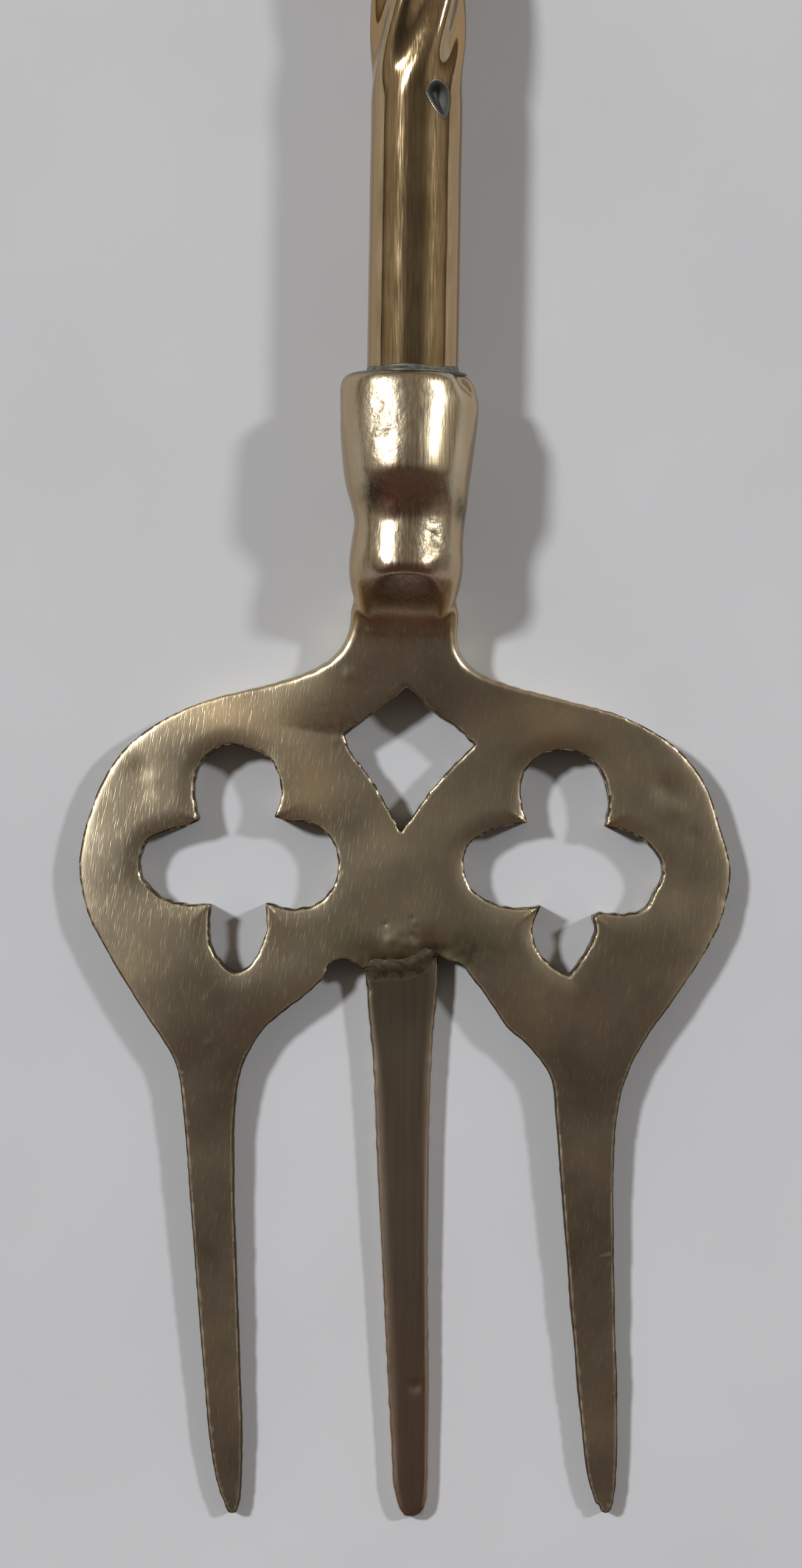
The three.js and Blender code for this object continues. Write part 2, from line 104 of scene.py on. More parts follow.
camera_data = bpy.data.cameras.new("photo_camera")
camera_data.sensor_width = SENSOR
camera_data.lens = SENSOR * (CAMERA_HEIGHT - PLATE_TOP) / (PHOTO_HEIGHT * PLATE_PIXEL)
camera = bpy.data.objects.new("photo_camera", camera_data)
camera.location = (AIM_X * MM, AIM_Y * MM, CAMERA_HEIGHT * MM)
camera.rotation_euler = (0, 0, CAMERA_ROLL)
bpy.context.scene.collection.objects.link(camera)
bpy.context.scene.camera = camera


def at_pixel(u, v, height=PLATE_TOP):
    """Where the photograph's pixel u, v meets a level surface at this height."""
    pixel = PLATE_PIXEL * (CAMERA_HEIGHT - height) / (CAMERA_HEIGHT - PLATE_TOP)
    right = (np.asarray(u, float) - PHOTO_WIDTH / 2) * pixel
    down = (np.asarray(v, float) - PHOTO_HEIGHT / 2) * pixel
    x = AIM_X + right * math.cos(CAMERA_ROLL) + down * math.sin(CAMERA_ROLL)
    y = AIM_Y + right * math.sin(CAMERA_ROLL) - down * math.cos(CAMERA_ROLL)
    return x, y


print(f"lens {camera_data.lens:.1f} mm, looking at {AIM_X:.1f}, {AIM_Y:.1f}")

# %% [markdown]
# ## The head's outline
#
# The head was sawn and filed by hand, so its left and right halves differ. Its outline is a
# chain of runs. Each run is a smooth curve through a few picked pixels, and runs meet in corners.
# A Bezier curve object could hold the same points, but the distance to the outline is needed
# below, so the curve is worked out here with numpy.

# %% Outline of the plate
LEFT_FLANK = [
    (588, 970), (578, 1002), (576, 1024), (569, 1050), (553, 1073), (520, 1097), (455, 1121),
    (342, 1150), (262, 1186), (200, 1236), (158, 1306), (135, 1380), (130, 1432), (143, 1497),
    (178, 1567), (233, 1657), (272, 1715), (290, 1753), (300, 1815), (310, 1945), (329, 2200),
    (345, 2380), (357, 2446), (369, 2478),
]
LEFT_TIP = [(369, 2478), (375, 2489), (386, 2489), (393, 2470)]
LEFT_CROTCH = [
    (393, 2470), (397, 2400), (392, 2200), (384, 1960), (385, 1830), (397, 1755), (432, 1693),
    (463, 1664), (500, 1636), (521, 1617), (534, 1603), (540, 1586), (555, 1577), (576, 1578),
    (597, 1593),
]
LIP = [
    (597, 1593), (606, 1588), (640, 1585), (672, 1582), (698, 1571), (712, 1568), (724, 1575),
    (738, 1580), (752, 1582), (762, 1588), (769, 1598),
]
RIGHT_CROTCH = [
    (769, 1598), (793, 1628), (812, 1657), (836, 1691), (855, 1706), (880, 1732), (907, 1775),
    (914, 1840), (926, 1990), (943, 2200), (960, 2380), (969, 2440), (980, 2474),
]
RIGHT_TIP = [(980, 2474), (986, 2478), (988, 2486), (998, 2491), (1006, 2482), (1013, 2450)]
RIGHT_FLANK = [
    (1013, 2450), (1016, 2350), (1011, 2150), (1009, 1960), (1013, 1845), (1028, 1775),
    (1058, 1712), (1116, 1630), (1160, 1563), (1190, 1500), (1201, 1432), (1196, 1400),
    (1184, 1360), (1160, 1290), (1108, 1226), (1029, 1180), (927, 1150), (835, 1125),
    (777, 1099), (755, 1072), (751, 1045), (753, 1020), (751, 1000), (741, 970),
]
CURVE_STEPS = 6


def smooth_run(points):
    """A curve through all the points, which leaves out its own last point."""
    p = np.array(points, float)
    t = np.concatenate([[0], np.cumsum(np.sqrt(np.linalg.norm(np.diff(p, axis=0), axis=1)))])
    slope = np.gradient(p, t, axis=0)
    s = np.linspace(0, 1, CURVE_STEPS, endpoint=False)[:, None]
    start, end = 2 * s**3 - 3 * s**2 + 1, 3 * s**2 - 2 * s**3
    leave, arrive = s**3 - 2 * s**2 + s, s**3 - s**2
    spans = []
    for i in range(len(p) - 1):
        width = t[i + 1] - t[i]
        along = start * p[i] + end * p[i + 1]
        spans.append(along + width * (leave * slope[i] + arrive * slope[i + 1]))
    return np.concatenate(spans)


def outline_of(runs):
    """A closed outline in millimetres from runs of pixels on top of the plate."""
    pixels = np.concatenate([smooth_run(run) for run in runs])
    return np.stack(at_pixel(pixels[:, 0], pixels[:, 1]), axis=1)


plate_outline = outline_of(
    [LEFT_FLANK, LEFT_TIP, LEFT_CROTCH, LIP, RIGHT_CROTCH, RIGHT_TIP, RIGHT_FLANK]
)
print("plate outline spans", np.round(np.ptp(plate_outline, axis=0), 1), "mm")

# %% Outlines of the piercings
LEFT_CROSS = [
    [(326, 1346), (319, 1303), (328, 1258), (362, 1227), (410, 1229), (449, 1253), (463, 1306),
     (451, 1342)],
    [(451, 1342), (475, 1350), (505, 1351), (540, 1373), (556, 1413), (547, 1458), (515, 1487),
     (475, 1493), (436, 1481)],
    [(436, 1481), (438, 1530), (426, 1562), (407, 1588), (385, 1597), (365, 1583), (346, 1552),
     (344, 1516), (347, 1485)],
    [(347, 1485), (310, 1486), (266, 1474), (236, 1446), (230, 1414), (241, 1382), (275, 1365),
     (310, 1356), (326, 1346)],
]
RIGHT_CROSS = [
    [(866, 1352), (857, 1315), (862, 1268), (898, 1237), (945, 1235), (985, 1264), (1002, 1320),
     (993, 1358)],
    [(993, 1358), (1029, 1366), (1065, 1386), (1090, 1430), (1072, 1472), (1062, 1492),
     (1025, 1502), (990, 1500), (974, 1505)],
    [(974, 1505), (978, 1534), (959, 1570), (937, 1604)],
    [(937, 1604), (905, 1586), (883, 1560), (875, 1532), (881, 1504), (889, 1487)],
    [(889, 1487), (858, 1492), (814, 1485), (778, 1463), (762, 1425), (768, 1392), (795, 1369),
     (830, 1357), (866, 1352)],
]
KITE = [
    [(668, 1130), (680, 1138), (712, 1171), (745, 1192), (780, 1223)],
    [(780, 1223), (758, 1245), (712, 1295), (659, 1366)],
    [(659, 1366), (610, 1281), (572, 1228), (565, 1208)],
    [(565, 1208), (604, 1179), (640, 1151), (668, 1130)],
]
piercings = [outline_of(runs) for runs in (LEFT_CROSS, RIGHT_CROSS, KITE)]
print("piercings span", [np.round(np.ptp(piercing, axis=0), 1).tolist() for piercing in piercings])

# %% [markdown]
# ## Solids as distance fields
#
# A casting has no sharp inner corners: the metal flows from one form into the next. Booleans and
# bevels struggle with that, so the cast pieces are built as a distance field: at each point of a
# fine grid, how far is the metal's surface, with minus inside. Two fields melt together with a
# fillet by a smooth minimum, a dent is a small lump added to the number, and the surface is the
# place where the number is zero.

# %% Helpers for distance fields
def grid(low, high, step):
    """Grid axes over a box, shaped so that they combine into a full grid."""
    axes = [np.arange(a, b + step, step, dtype=np.float32) for a, b in zip(low, high)]
    return np.meshgrid(*axes, indexing="ij", sparse=True)


def ease(value, start, end):
    """0 before start, 1 after end, and a smooth step between them."""
    t = np.clip((value - start) / (end - start), 0, 1)
    return t * t * (3 - 2 * t)


def melt(a, b, radius):
    """Two fields joined, with a fillet of about this radius."""
    h = np.clip(0.5 + 0.5 * (b - a) / radius, 0, 1)
    return b + (a - b) * h - radius * h * (1 - h)


def trim(a, b, radius):
    """What two fields share, with the edge between them rounded."""
    return -melt(-a, -b, radius)


def outline_distance(x, y, outline):
    """Distance from points to a closed outline, with minus inside it."""
    least = np.full(np.broadcast(x, y).shape, np.inf, np.float32)
    inside = np.zeros(least.shape, bool)
    for (ax, ay), (bx, by) in zip(outline, np.roll(outline, -1, axis=0)):
        ex, ey = bx - ax, by - ay
        share = np.clip(((x - ax) * ex + (y - ay) * ey) / (ex * ex + ey * ey), 0, 1)
        least = np.minimum(least, (x - ax - share * ex) ** 2 + (y - ay - share * ey) ** 2)
        straddles = (ay > y) != (by > y)
        inside ^= straddles & (x < ax + (y - ay) * ex / (ey if ey else 1))
    return np.where(inside, -1, 1) * np.sqrt(least)


bridge = np.abs(outline_distance(*piercings[0].T, piercings[2])).min()
print(f"bridge of metal between kite and left cross: {bridge:.1f} mm")

# %% [markdown]
# ## The hand in the work
#
# Nothing made by hand is quite even. A ripple of a few waves in mixed directions, drawn from a
# fixed seed, makes outlines and skins wander the same way on every run. Single dents and lumps
# are pressed into a field where a picked pixel says.

# %% Ripples and dents
RIPPLE_WAVES = 6
DENT_REACH = 3


def ripple(x, y, z, wavelength, seed):
    """Smooth waves in mixed directions, between about -1 and 1."""
    rng = np.random.default_rng(seed)
    total = 0
    for direction in rng.normal(size=(RIPPLE_WAVES, 3)):
        fx, fy, fz = direction * 2 * math.pi / wavelength / np.linalg.norm(direction)
        total = total + np.sin(fx * x + fy * y + fz * z + rng.uniform(0, 2 * math.pi))
    return total / (RIPPLE_WAVES / 2)


def dented(field, x, y, z, dents):
    """A field with each dent's depth pressed into it; a minus depth raises a lump."""
    for u, v, height, radius, depth in dents:
        centre = (*at_pixel(u, v, height), height)
        reach = DENT_REACH * radius
        near = tuple(
            slice(*np.searchsorted(axis.ravel(), (c - reach, c + reach)))
            for axis, c in zip((x, y, z), centre)
        )
        near_x, near_y, near_z = x[near[0]], y[:, near[1]], z[:, :, near[2]]
        square = (near_x - centre[0]) ** 2 + (near_y - centre[1]) ** 2 + (near_z - centre[2]) ** 2
        field[near] += depth * np.exp(-square / radius**2)
    return field


trial = ripple(np.linspace(0, 50, 500), 0, 0, 5.0, seed=0)
print(f"a trial ripple runs from {trial.min():.2f} to {trial.max():.2f}")

# %% [markdown]
# ## From a field to a mesh
#
# Blender's voxel remesher would turn a rough mesh into an even one, but it leaves small steps on
# slanted edges. A surface net reads the field itself: every grid cell that the surface passes
# through gets one point, at the mean of the places where the surface cuts the cell's edges, and
# cells that share a cut edge are joined by a quad. One or two rounds of smoothing, which pull the
# skin in and push it out again, then planish it without shrinking it.

# %% Surface net
def surface_net(field, low, step):
    """Points and quads of the skin where the field changes sign."""
    inside = field < 0
    cells = np.array(field.shape) - 1
    corners = np.array([(i, j, k) for i in (0, 1) for j in (0, 1) for k in (0, 1)])
    views = [tuple(slice(c, c + n) for c, n in zip(corner, cells)) for corner in corners]
    count = sum(inside[view].astype(np.int8) for view in views)
    mixed = (count > 0) & (count < 8)
    value = np.stack([field[view][mixed] for view in views], axis=1).astype(float)
    total = np.zeros((len(value), 3))
    hits = np.zeros(len(value))
    for a, corner in enumerate(corners):
        for axis in range(3):
            if corner[axis] == 0:
                b = a + (4, 2, 1)[axis]
                cut = (value[:, a] < 0) != (value[:, b] < 0)
                share = value[cut, a] / (value[cut, a] - value[cut, b])
                total[cut] += corner
                total[cut, axis] += share
                hits += cut
    points = np.array(low) + (np.argwhere(mixed) + total / hits[:, None]) * step
    number = np.full(cells, -1)
    number[mixed] = np.arange(len(points))
    quads = []
    for axis in range(3):
        order = [(axis + i) % 3 for i in range(3)]
        solid = inside.transpose(order)[:, 1:-1, 1:-1]
        cell = number.transpose(order)
        around = [cell[:, :-1, :-1], cell[:, 1:, :-1], cell[:, 1:, 1:], cell[:, :-1, 1:]]
        leaving = solid[:-1] & ~solid[1:]
        entering = ~solid[:-1] & solid[1:]
        quads.append(np.stack([n[leaving] for n in around], axis=1))
        quads.append(np.stack([n[entering] for n in around[::-1]], axis=1))
    return points, np.concatenate(quads)


BALL_RADIUS, BALL_STEP = 1.5, 0.25
ball_box = np.full(3, BALL_RADIUS + 2 * BALL_STEP)
ball_x, ball_y, ball_z = grid(-ball_box, ball_box, BALL_STEP)
ball_field = np.sqrt(ball_x**2 + ball_y**2 + ball_z**2) - BALL_RADIUS
ball_points, ball_quads = surface_net(ball_field, -ball_box, BALL_STEP)
print(f"a 3 mm trial ball: {len(ball_quads)} quads, {np.ptp(ball_points[:, 0]):.2f} mm wide")

# %% Planishing and wrapped skins
PULL_IN, PUSH_OUT = 0.5, -0.52


def planish(points, quads, rounds):
    """Smooths a skin of quads: each round pulls in by a half and pushes out again."""
    ends = np.concatenate([quads[:, [i, (i + 1) % 4]] for i in range(4)])
    count = np.bincount(ends[:, 0], minlength=len(points))[:, None]
    for amount in (PULL_IN, PUSH_OUT) * rounds:
        near = [np.bincount(ends[:, 0], points[ends[:, 1], k], len(points)) for k in range(3)]
        points = points + amount * (np.stack(near, axis=1) / count - points)
    return points


def wrapped_quads(rows, columns):
    """Quads of a grid of points that closes on itself both ways."""
    i, j = np.meshgrid(np.arange(rows), np.arange(columns), indexing="ij")
    far, right = (i + 1) % rows, (j + 1) % columns
    corners = [i * columns + j, i * columns + right, far * columns + right, far * columns + j]
    return np.stack(corners, axis=-1).reshape(-1, 4)


print(f"planished, it is {np.ptp(planish(ball_points, ball_quads, 1)[:, 0]):.2f} mm wide")

# %% Pieces and what is stored on them
def make_piece(name, points, quads, body, slot, node):
    """A smooth mesh object from points in millimetres that stands for one CAD node."""
    a, b, c, d = (points[quads[:, i]] for i in range(4))
    volume = np.einsum("ij,ij->", np.cross(b - a, c - a), a)
    volume = volume + np.einsum("ij,ij->", np.cross(c - a, d - a), a)
    outward = quads if volume > 0 else quads[:, ::-1]
    mesh = bpy.data.meshes.new(name)
    mesh.from_pydata((points * MM).tolist(), [], outward.tolist())
    mesh.shade_smooth()
    piece = bpy.data.objects.new(name, mesh)
    bpy.context.scene.collection.objects.link(piece)
    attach(piece, body)
    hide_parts(node)
    print(f"{name}: {len(quads)} quads, {abs(volume) / 6:.0f} cubic mm")
    return piece


def piece_from_field(name, field, low, step, rounds, *belongs):
    """A planished piece from a field on a grid, with its body and node; its slot is not used."""
    points, quads = surface_net(field, low, step)
    return make_piece(name, planish(points, quads, rounds), quads, *belongs)


def piece_from_rings(name, points, *belongs):
    """A piece from rings of points that close on themselves, with its body and node; its slot is not
    used.
    """
    return make_piece(name, points.reshape(-1, 3), wrapped_quads(*points.shape[:2]), *belongs)


def thin_out(piece, triangles):
    """Lets the decimate modifier drop points where the skin is flat."""
    modifier = piece.modifiers.new("thin_out", "DECIMATE")
    modifier.ratio = triangles / (2 * len(piece.data.polygons))
    thinned = piece.evaluated_get(bpy.context.evaluated_depsgraph_get())
    piece.data = bpy.data.meshes.new_from_object(thinned)
    piece.modifiers.clear()
    print(f"{piece.name}: thinned to {len(piece.data.polygons)} faces")


def points_of(piece):
    """A mesh's points in millimetres."""
    flat = np.empty(3 * len(piece.data.vertices))
    piece.data.vertices.foreach_get("co", flat)
    return flat.reshape(-1, 3) / MM


def store(piece, name, values):
    """Keeps one number per point on a mesh, for a material to read."""
    attribute = piece.data.attributes.new(name, "FLOAT", "POINT")
    attribute.data.foreach_set("value", np.asarray(values, np.float32))
    print(f"{piece.name}: mask {name}, mean {np.mean(values):.3f}")

# %% [markdown]
# ## The plate
#
# The plate's back is flat on the table. Its front is domed: about 3 mm thick at the rim and 4 mm
# between the piercings, which the width of the shadows inside them gives away. The crosses were
# cast, so their edges roll over softly, except on the right, where a file cleaned them up; the
# kite was sawn and has crisp edges. A crease left of the kite marks where the plate starts to
# rise towards the neck. The lip over the centre tine rolls down to it, and the side tines thin
# from their roots to their tips.

# %% Measures of the plate
DOME = 0.95
DOME_FROM, DOME_TO = 17.0, 34.5
TINE_LENGTH = 45.0
TINE_TIP_THICKNESS = 1.7
LOBES_FROM, LOBES_TO = -4.0, 14.0
RIM_WEAR, RIM_WEAR_REACH = 0.14, 4.0
LEFT_LOBE_ROLL, RIGHT_LOBE_ROLL = 0.075, 0.06
LOBE_ROLL_REACH = 0.8
LOBE_ROLL_FROM, LOBE_ROLL_TO = 22.0, 29.0
SWELLS = [(450, 1222, 6.0, 0.3), (655, 1440, 5.0, 0.08)]
ROLL_DEPTH, ROLL_REACH = 0.3, 2.2
ROLL_LEFT, ROLL_RIGHT, ROLL_UPPER, ROLL_LOWER = 0.9, 0.15, 1.0, 0.6
CREASE = [(430, 1187), (565, 1209)]
CREASE_SHARP, CREASE_SOFT, CREASE_SOFT_AT = 0.25, 3.0, 12.0
RISE_SLOPE = 0.13
RISE_FROM, RISE_TO = -1.0, 8.0
LIP_OVERLAP = 0.25
LIP_ROLL, LIP_ROLL_REACH = 0.65, 3.6
LIP_ROLL_FROM, LIP_ROLL_TO = 1.5, 6.5
RIM_ROUND, PIERCED_ROUND, NECK_EDGE_ROUND = 0.08, 0.1, 0.9
NECK_FROM, NECK_TO = 36.0, 29.0
FILE_WOBBLE, FILE_WOBBLE_LENGTH = 0.07, 1.3
RIM_WOBBLE_SHARE = 0.4
tine_root_y = TIPS_Y + TINE_LENGTH
crease_x, crease_y = at_pixel(*np.transpose(CREASE))
lip_line = np.stack(at_pixel(*np.transpose(LIP)), axis=1)
print(f"plate {PLATE_TOP + DOME:.2f} mm thick in the middle, {TINE_TIP_THICKNESS} mm at the tips")
print(f"lip {lip_line[:, 1].mean() - TIPS_Y:.1f} mm above the tips")

# %% Plate field
def lip_y(x):
    """How far up the centre tine runs before the plate's lip covers it."""
    return np.interp(x, lip_line[:, 0], lip_line[:, 1]) + LIP_OVERLAP


def lobe_relief(x, y, outer, crosses):
    """What the dome, the worn rim and the rolled edges add to the height of the lobes."""
    step = float(x[1, 0, 0] - x[0, 0, 0])
    away_x, away_y = (g[:, :, None] for g in np.gradient(crosses[:, :, 0], step))
    roll = away_x**2 * np.where(away_x < 0, ROLL_LEFT, ROLL_RIGHT)
    roll = roll + away_y**2 * np.where(away_y > 0, ROLL_UPPER, ROLL_LOWER)
    rolled = ROLL_DEPTH * roll * np.clip(1 - crosses / ROLL_REACH, 0, 1) ** 2
    domed = DOME * (1 - np.clip((np.abs(x) - DOME_FROM) / (DOME_TO - DOME_FROM), 0, 1) ** 2)
    domed = domed - RIM_WEAR * np.clip(1 + outer / RIM_WEAR_REACH, 0, 1) ** 2
    lobe_roll = np.where(x < 0, LEFT_LOBE_ROLL, RIGHT_LOBE_ROLL)
    lobe_roll = lobe_roll * ease(np.abs(x), LOBE_ROLL_FROM, LOBE_ROLL_TO)
    domed = domed - lobe_roll * np.clip(1 + outer / LOBE_ROLL_REACH, 0, 1) ** 2
    for u, v, radius, height in SWELLS:
        swell_x, swell_y = at_pixel(u, v)
        domed = domed + height * np.exp(-((x - swell_x) ** 2 + (y - swell_y) ** 2) / radius**2)
    lip_roll = np.clip(1 - (y - lip_y(x)) / LIP_ROLL_REACH, 0, 1) ** 2
    lip_roll = lip_roll * (1 - ease(np.abs(x), LIP_ROLL_FROM, LIP_ROLL_TO))
    return domed - rolled - LIP_ROLL * lip_roll


def plate_front(x, y, outer, crosses):
    """Height of the plate's front above the table."""
    above = y - np.interp(x, crease_x, crease_y)
    softness = CREASE_SHARP + CREASE_SOFT * ease(x, crease_x[1], CREASE_SOFT_AT)
    rise = RISE_SLOPE * (above + np.sqrt(above**2 + softness**2)) / 2
    rise = rise * ease(x, crease_x[0] + RISE_FROM, crease_x[0] + RISE_TO)
    thinning = np.clip((tine_root_y - y) / TINE_LENGTH, 0, 1)
    level = PLATE_TOP - (PLATE_TOP - TINE_TIP_THICKNESS) * thinning
    on_lobes = ease(y, tine_root_y + LOBES_FROM, tine_root_y + LOBES_TO)
    return level + rise + on_lobes * lobe_relief(x, y, outer, crosses)


def plate_field(x, y, z):
    """Distance to the pierced plate with its side tines."""
    wobble = FILE_WOBBLE * ripple(x, y, 0 * z[:, :, :1], FILE_WOBBLE_LENGTH, seed=1)
    outer = outline_distance(x, y, plate_outline) + RIM_WOBBLE_SHARE * wobble
    left, right, kite = (outline_distance(x, y, piercing) for piercing in piercings)
    crosses = np.minimum(left, right)
    pierced = np.minimum(crosses, kite) + wobble
    front = plate_front(x, y, outer, crosses)
    on_neck = ease(y, MOUTH_Y - NECK_FROM, MOUTH_Y - NECK_TO)
    rounding = np.where(outer > -pierced, RIM_ROUND, PIERCED_ROUND)
    rounding = rounding + (NECK_EDGE_ROUND - rounding) * on_neck
    across = np.maximum(outer, -pierced) + rounding
    through = np.abs(z - front / 2) - front / 2 + rounding
    outside = np.hypot(np.maximum(across, 0), np.maximum(through, 0))
    return outside + np.minimum(np.maximum(across, through), 0) - rounding


print(f"the lip ends {lip_y(0) - TIPS_Y:.1f} mm above the tips on the middle line")

# %% [markdown]
# ## The socket and neck
#
# A baluster-shaped socket takes the stem. Its two silhouette edges were picked at a few heights
# and give a centre line and a width, so it leans and bulges as the real one does. Seen from the
# front it is a drum, then a hollow waist, then a bead, and below that a scoop that sweeps down
# onto the plate. Those heights above the stem's axis are given row by row too.

# %% Socket field
SOCKET_EDGES = [
    (622, 563, 775), (640, 559, 781), (665, 558, 786), (710, 559, 783), (760, 563, 777),
    (800, 568, 771), (830, 576, 768), (858, 582, 764), (890, 578, 761), (920, 574, 761),
    (960, 574, 758), (1010, 577, 753), (1050, 576, 751),
]
FRONT_RISE = [
    (600, 6.1), (640, 6.5), (700, 6.95), (755, 7.25), (771, 7.2), (786, 6.75), (812, 5.75),
    (836, 5.15), (850, 5.05), (880, 5.3), (915, 5.65), (950, 5.95), (1100, 6.0),
]
FRONT_PICKED_AT = 6.0
FOOT_TOP, FOOT_HEIGHT = 12.2, 5.35
FOOT_FROM, FOOT_TO = 21.2, 26.8
FOOT_COVE = 1.5
FOOT_CREST_ROUND, FOOT_SIDE_ROUND = 1.0, 2.8
FOOT_SIDE_FROM, FOOT_SIDE_TO = 0.3, 0.75
FOOT_FILLET = 0.6
LIP_ROUND = 1.2
SOCKET_BORE = 10.0
SOCKET_DEPTH = 13.0


def socket_field(x, y, z):
    """Distance to the solid socket and neck, with the foot's front scooped out."""
    rows = smooth_run(SOCKET_EDGES)
    left_x, left_y = at_pixel(rows[:, 1], rows[:, 0], AXIS_Z)
    right_x, right_y = at_pixel(rows[:, 2], rows[:, 0], AXIS_Z)
    row_y = ((left_y + right_y) / 2)[::-1]
    middle = np.interp(y, row_y, ((left_x + right_x) / 2)[::-1])
    radius = np.interp(y, row_y, ((right_x - left_x) / 2)[::-1])
    fronts = smooth_run(FRONT_RISE)
    front_y = at_pixel(PHOTO_WIDTH / 2, fronts[:, 0], AXIS_Z + FRONT_PICKED_AT)[1]
    rise = np.interp(y, front_y[::-1], fronts[::-1, 1])
    up = z - AXIS_Z
    tube = np.hypot(x - middle, np.where(up > 0, up * radius / rise, up)) - radius
    climb = (y - MOUTH_Y + FOOT_TO) / (FOOT_TO - FOOT_FROM)
    curve = np.clip(climb, 0, 2) ** FOOT_COVE + np.minimum(climb, 0)
    slope = np.gradient(curve[0, :, 0], y[0, :, 0])[None, :, None] * (FOOT_TOP - FOOT_HEIGHT)
    scoop = (z - FOOT_HEIGHT - (FOOT_TOP - FOOT_HEIGHT) * curve) / np.hypot(1, slope)
    to_side = ease(np.abs(x - middle), FOOT_SIDE_FROM * radius, FOOT_SIDE_TO * radius)
    tube = trim(tube, scoop, FOOT_CREST_ROUND + (FOOT_SIDE_ROUND - FOOT_CREST_ROUND) * to_side)
    return trim(tube, y - MOUTH_Y, LIP_ROUND)


widest = np.ptp(at_pixel(np.array(SOCKET_EDGES)[:, 1:], 0, AXIS_Z)[0], axis=1).max()
print(f"socket {widest:.1f} mm at its widest, bored {SOCKET_BORE} mm")

# %% [markdown]
# ## Dents, pits and scars
#
# Small accidents make a casting believable. Each is a picked pixel with a height, a radius and a
# depth. The lobes have shallow hollows, the socket has casting pits, a scar and a chipped rim,
# and the plate bulges over the root of the centre tine, with small pits beside the bulge.

# %% Dents of the head
PLATE_DENTS = [
    (226, 1266, 3.5, 1.6, 0.16), (238, 1298, 3.6, 1.1, 0.06), (252, 1282, 3.6, 0.8, -0.03),
    (1092, 1287, 3.5, 1.6, 0.11), (1106, 1310, 3.5, 1.3, 0.08), (1112, 1328, 3.5, 1.0, -0.06),
    (1138, 1372, 3.4, 0.8, 0.04),
    (556, 1214, 3.6, 0.6, -0.12), (574, 1107, 4.4, 0.6, -0.12), (545, 1084, 4.0, 0.5, 0.2),
    (656, 1568, 3.8, 2.0, -0.4), (640, 1545, 3.9, 0.6, -0.06), (664, 1541, 3.9, 0.5, 0.06),
    (650, 1556, 4.0, 0.5, 0.07), (678, 1552, 4.0, 0.6, -0.06), (716, 1572, 3.2, 1.3, 0.25),
    (612, 1566, 3.6, 1.6, 0.12),
    (633, 1519, 3.8, 0.25, 0.1), (678, 1509, 3.8, 0.25, 0.09), (686, 1524, 3.8, 0.25, 0.09),
    (677, 1537, 3.9, 0.25, 0.09), (343, 1713, 3.1, 0.35, -0.18), (1192, 1480, 2.4, 0.5, 0.15),
]
SOCKET_DENTS = [
    (623, 664, 13.6, 0.4, 0.35), (615, 652, 13.4, 0.4, 0.12), (628, 648, 13.7, 0.5, 0.08),
    (638, 714, 13.9, 0.6, 0.12), (628, 702, 13.7, 0.5, -0.06), (632, 728, 13.8, 0.5, 0.06),
    (677, 652, 14.4, 0.5, 0.05), (646, 745, 13.9, 0.7, 0.04),
    (762, 628, 10.3, 0.9, 0.8), (771, 642, 9.6, 0.6, 0.4), (758, 621, 11.0, 0.5, 0.3),
    (559, 660, 7.3, 0.5, 0.3), (559, 684, 7.3, 0.5, 0.25), (571, 628, 8.5, 0.6, 0.2),
    (715, 879, 12.0, 0.4, 0.2), (640, 836, 12.4, 0.8, -0.12), (633, 968, 11.0, 0.5, -0.15),
    (650, 974, 11.0, 0.5, -0.12), (704, 640, 14.0, 1.0, 0.06), (676, 760, 13.4, 1.2, 0.08),
]
print(f"{len(PLATE_DENTS)} dents and lumps on the plate, {len(SOCKET_DENTS)} on the socket")

# %% The whole casting
HEAD_STEP = 0.2
HEAD_TRIANGLES = 190000
MARGIN = 0.9
CAST_WOBBLE, CAST_WOBBLE_LENGTH = 0.025, 7.0
POCKET_HALF_WIDTH, POCKET_TOP, POCKET_BELOW = 3.5, 1.5, 2.0
TANG_CLEARANCE = 0.5
CROTCH_ABOVE_TIPS = 58.0
tang_end_y = tine_high[1] + TANG_CLEARANCE
crotch_y = TIPS_Y + CROTCH_ABOVE_TIPS


def mould_wobble(x, y, z):
    """How the skin of the sand mould wandered."""
    return CAST_WOBBLE * ripple(x, y, z, CAST_WOBBLE_LENGTH, seed=2)


def head_field(x, y, z):
    """Plate and socket melted together, then bored, pocketed and dented."""
    plate = dented(plate_field(x, y, z), x, y, z, PLATE_DENTS)
    socket = dented(socket_field(x, y, z), x, y, z, SOCKET_DENTS)
    cast = melt(plate, socket, FOOT_FILLET) + mould_wobble(x, y, z)
    cast = np.maximum(cast, -z)
    bore = np.maximum(np.hypot(x, z - AXIS_Z) - SOCKET_BORE / 2, MOUTH_Y - SOCKET_DEPTH - y)
    pocket_x = np.abs(x) - POCKET_HALF_WIDTH
    pocket_y = np.maximum(crotch_y - POCKET_BELOW - y, y - tang_end_y)
    pocket = np.maximum(np.maximum(pocket_x, pocket_y), z - POCKET_TOP)
    return np.maximum(np.maximum(cast, -bore), -pocket)


head_from = head_low - MARGIN
fork_head = piece_from_field(
    "fork_head_casting", head_field(*grid(head_from, head_high + MARGIN, HEAD_STEP)),
    head_from, HEAD_STEP, 1, "fork", "cast_brass", "fork_head",
)
thin_out(fork_head, HEAD_TRIANGLES)

# %% [markdown]
# ## The centre tine
#
# The middle tine is a separate forged bar. Its long edges are chamfered with a file, wider on one
# side than on the other, and its tang slips into a pocket behind the plate. The same field method
# fits: planes that trim each other with a small rounding.

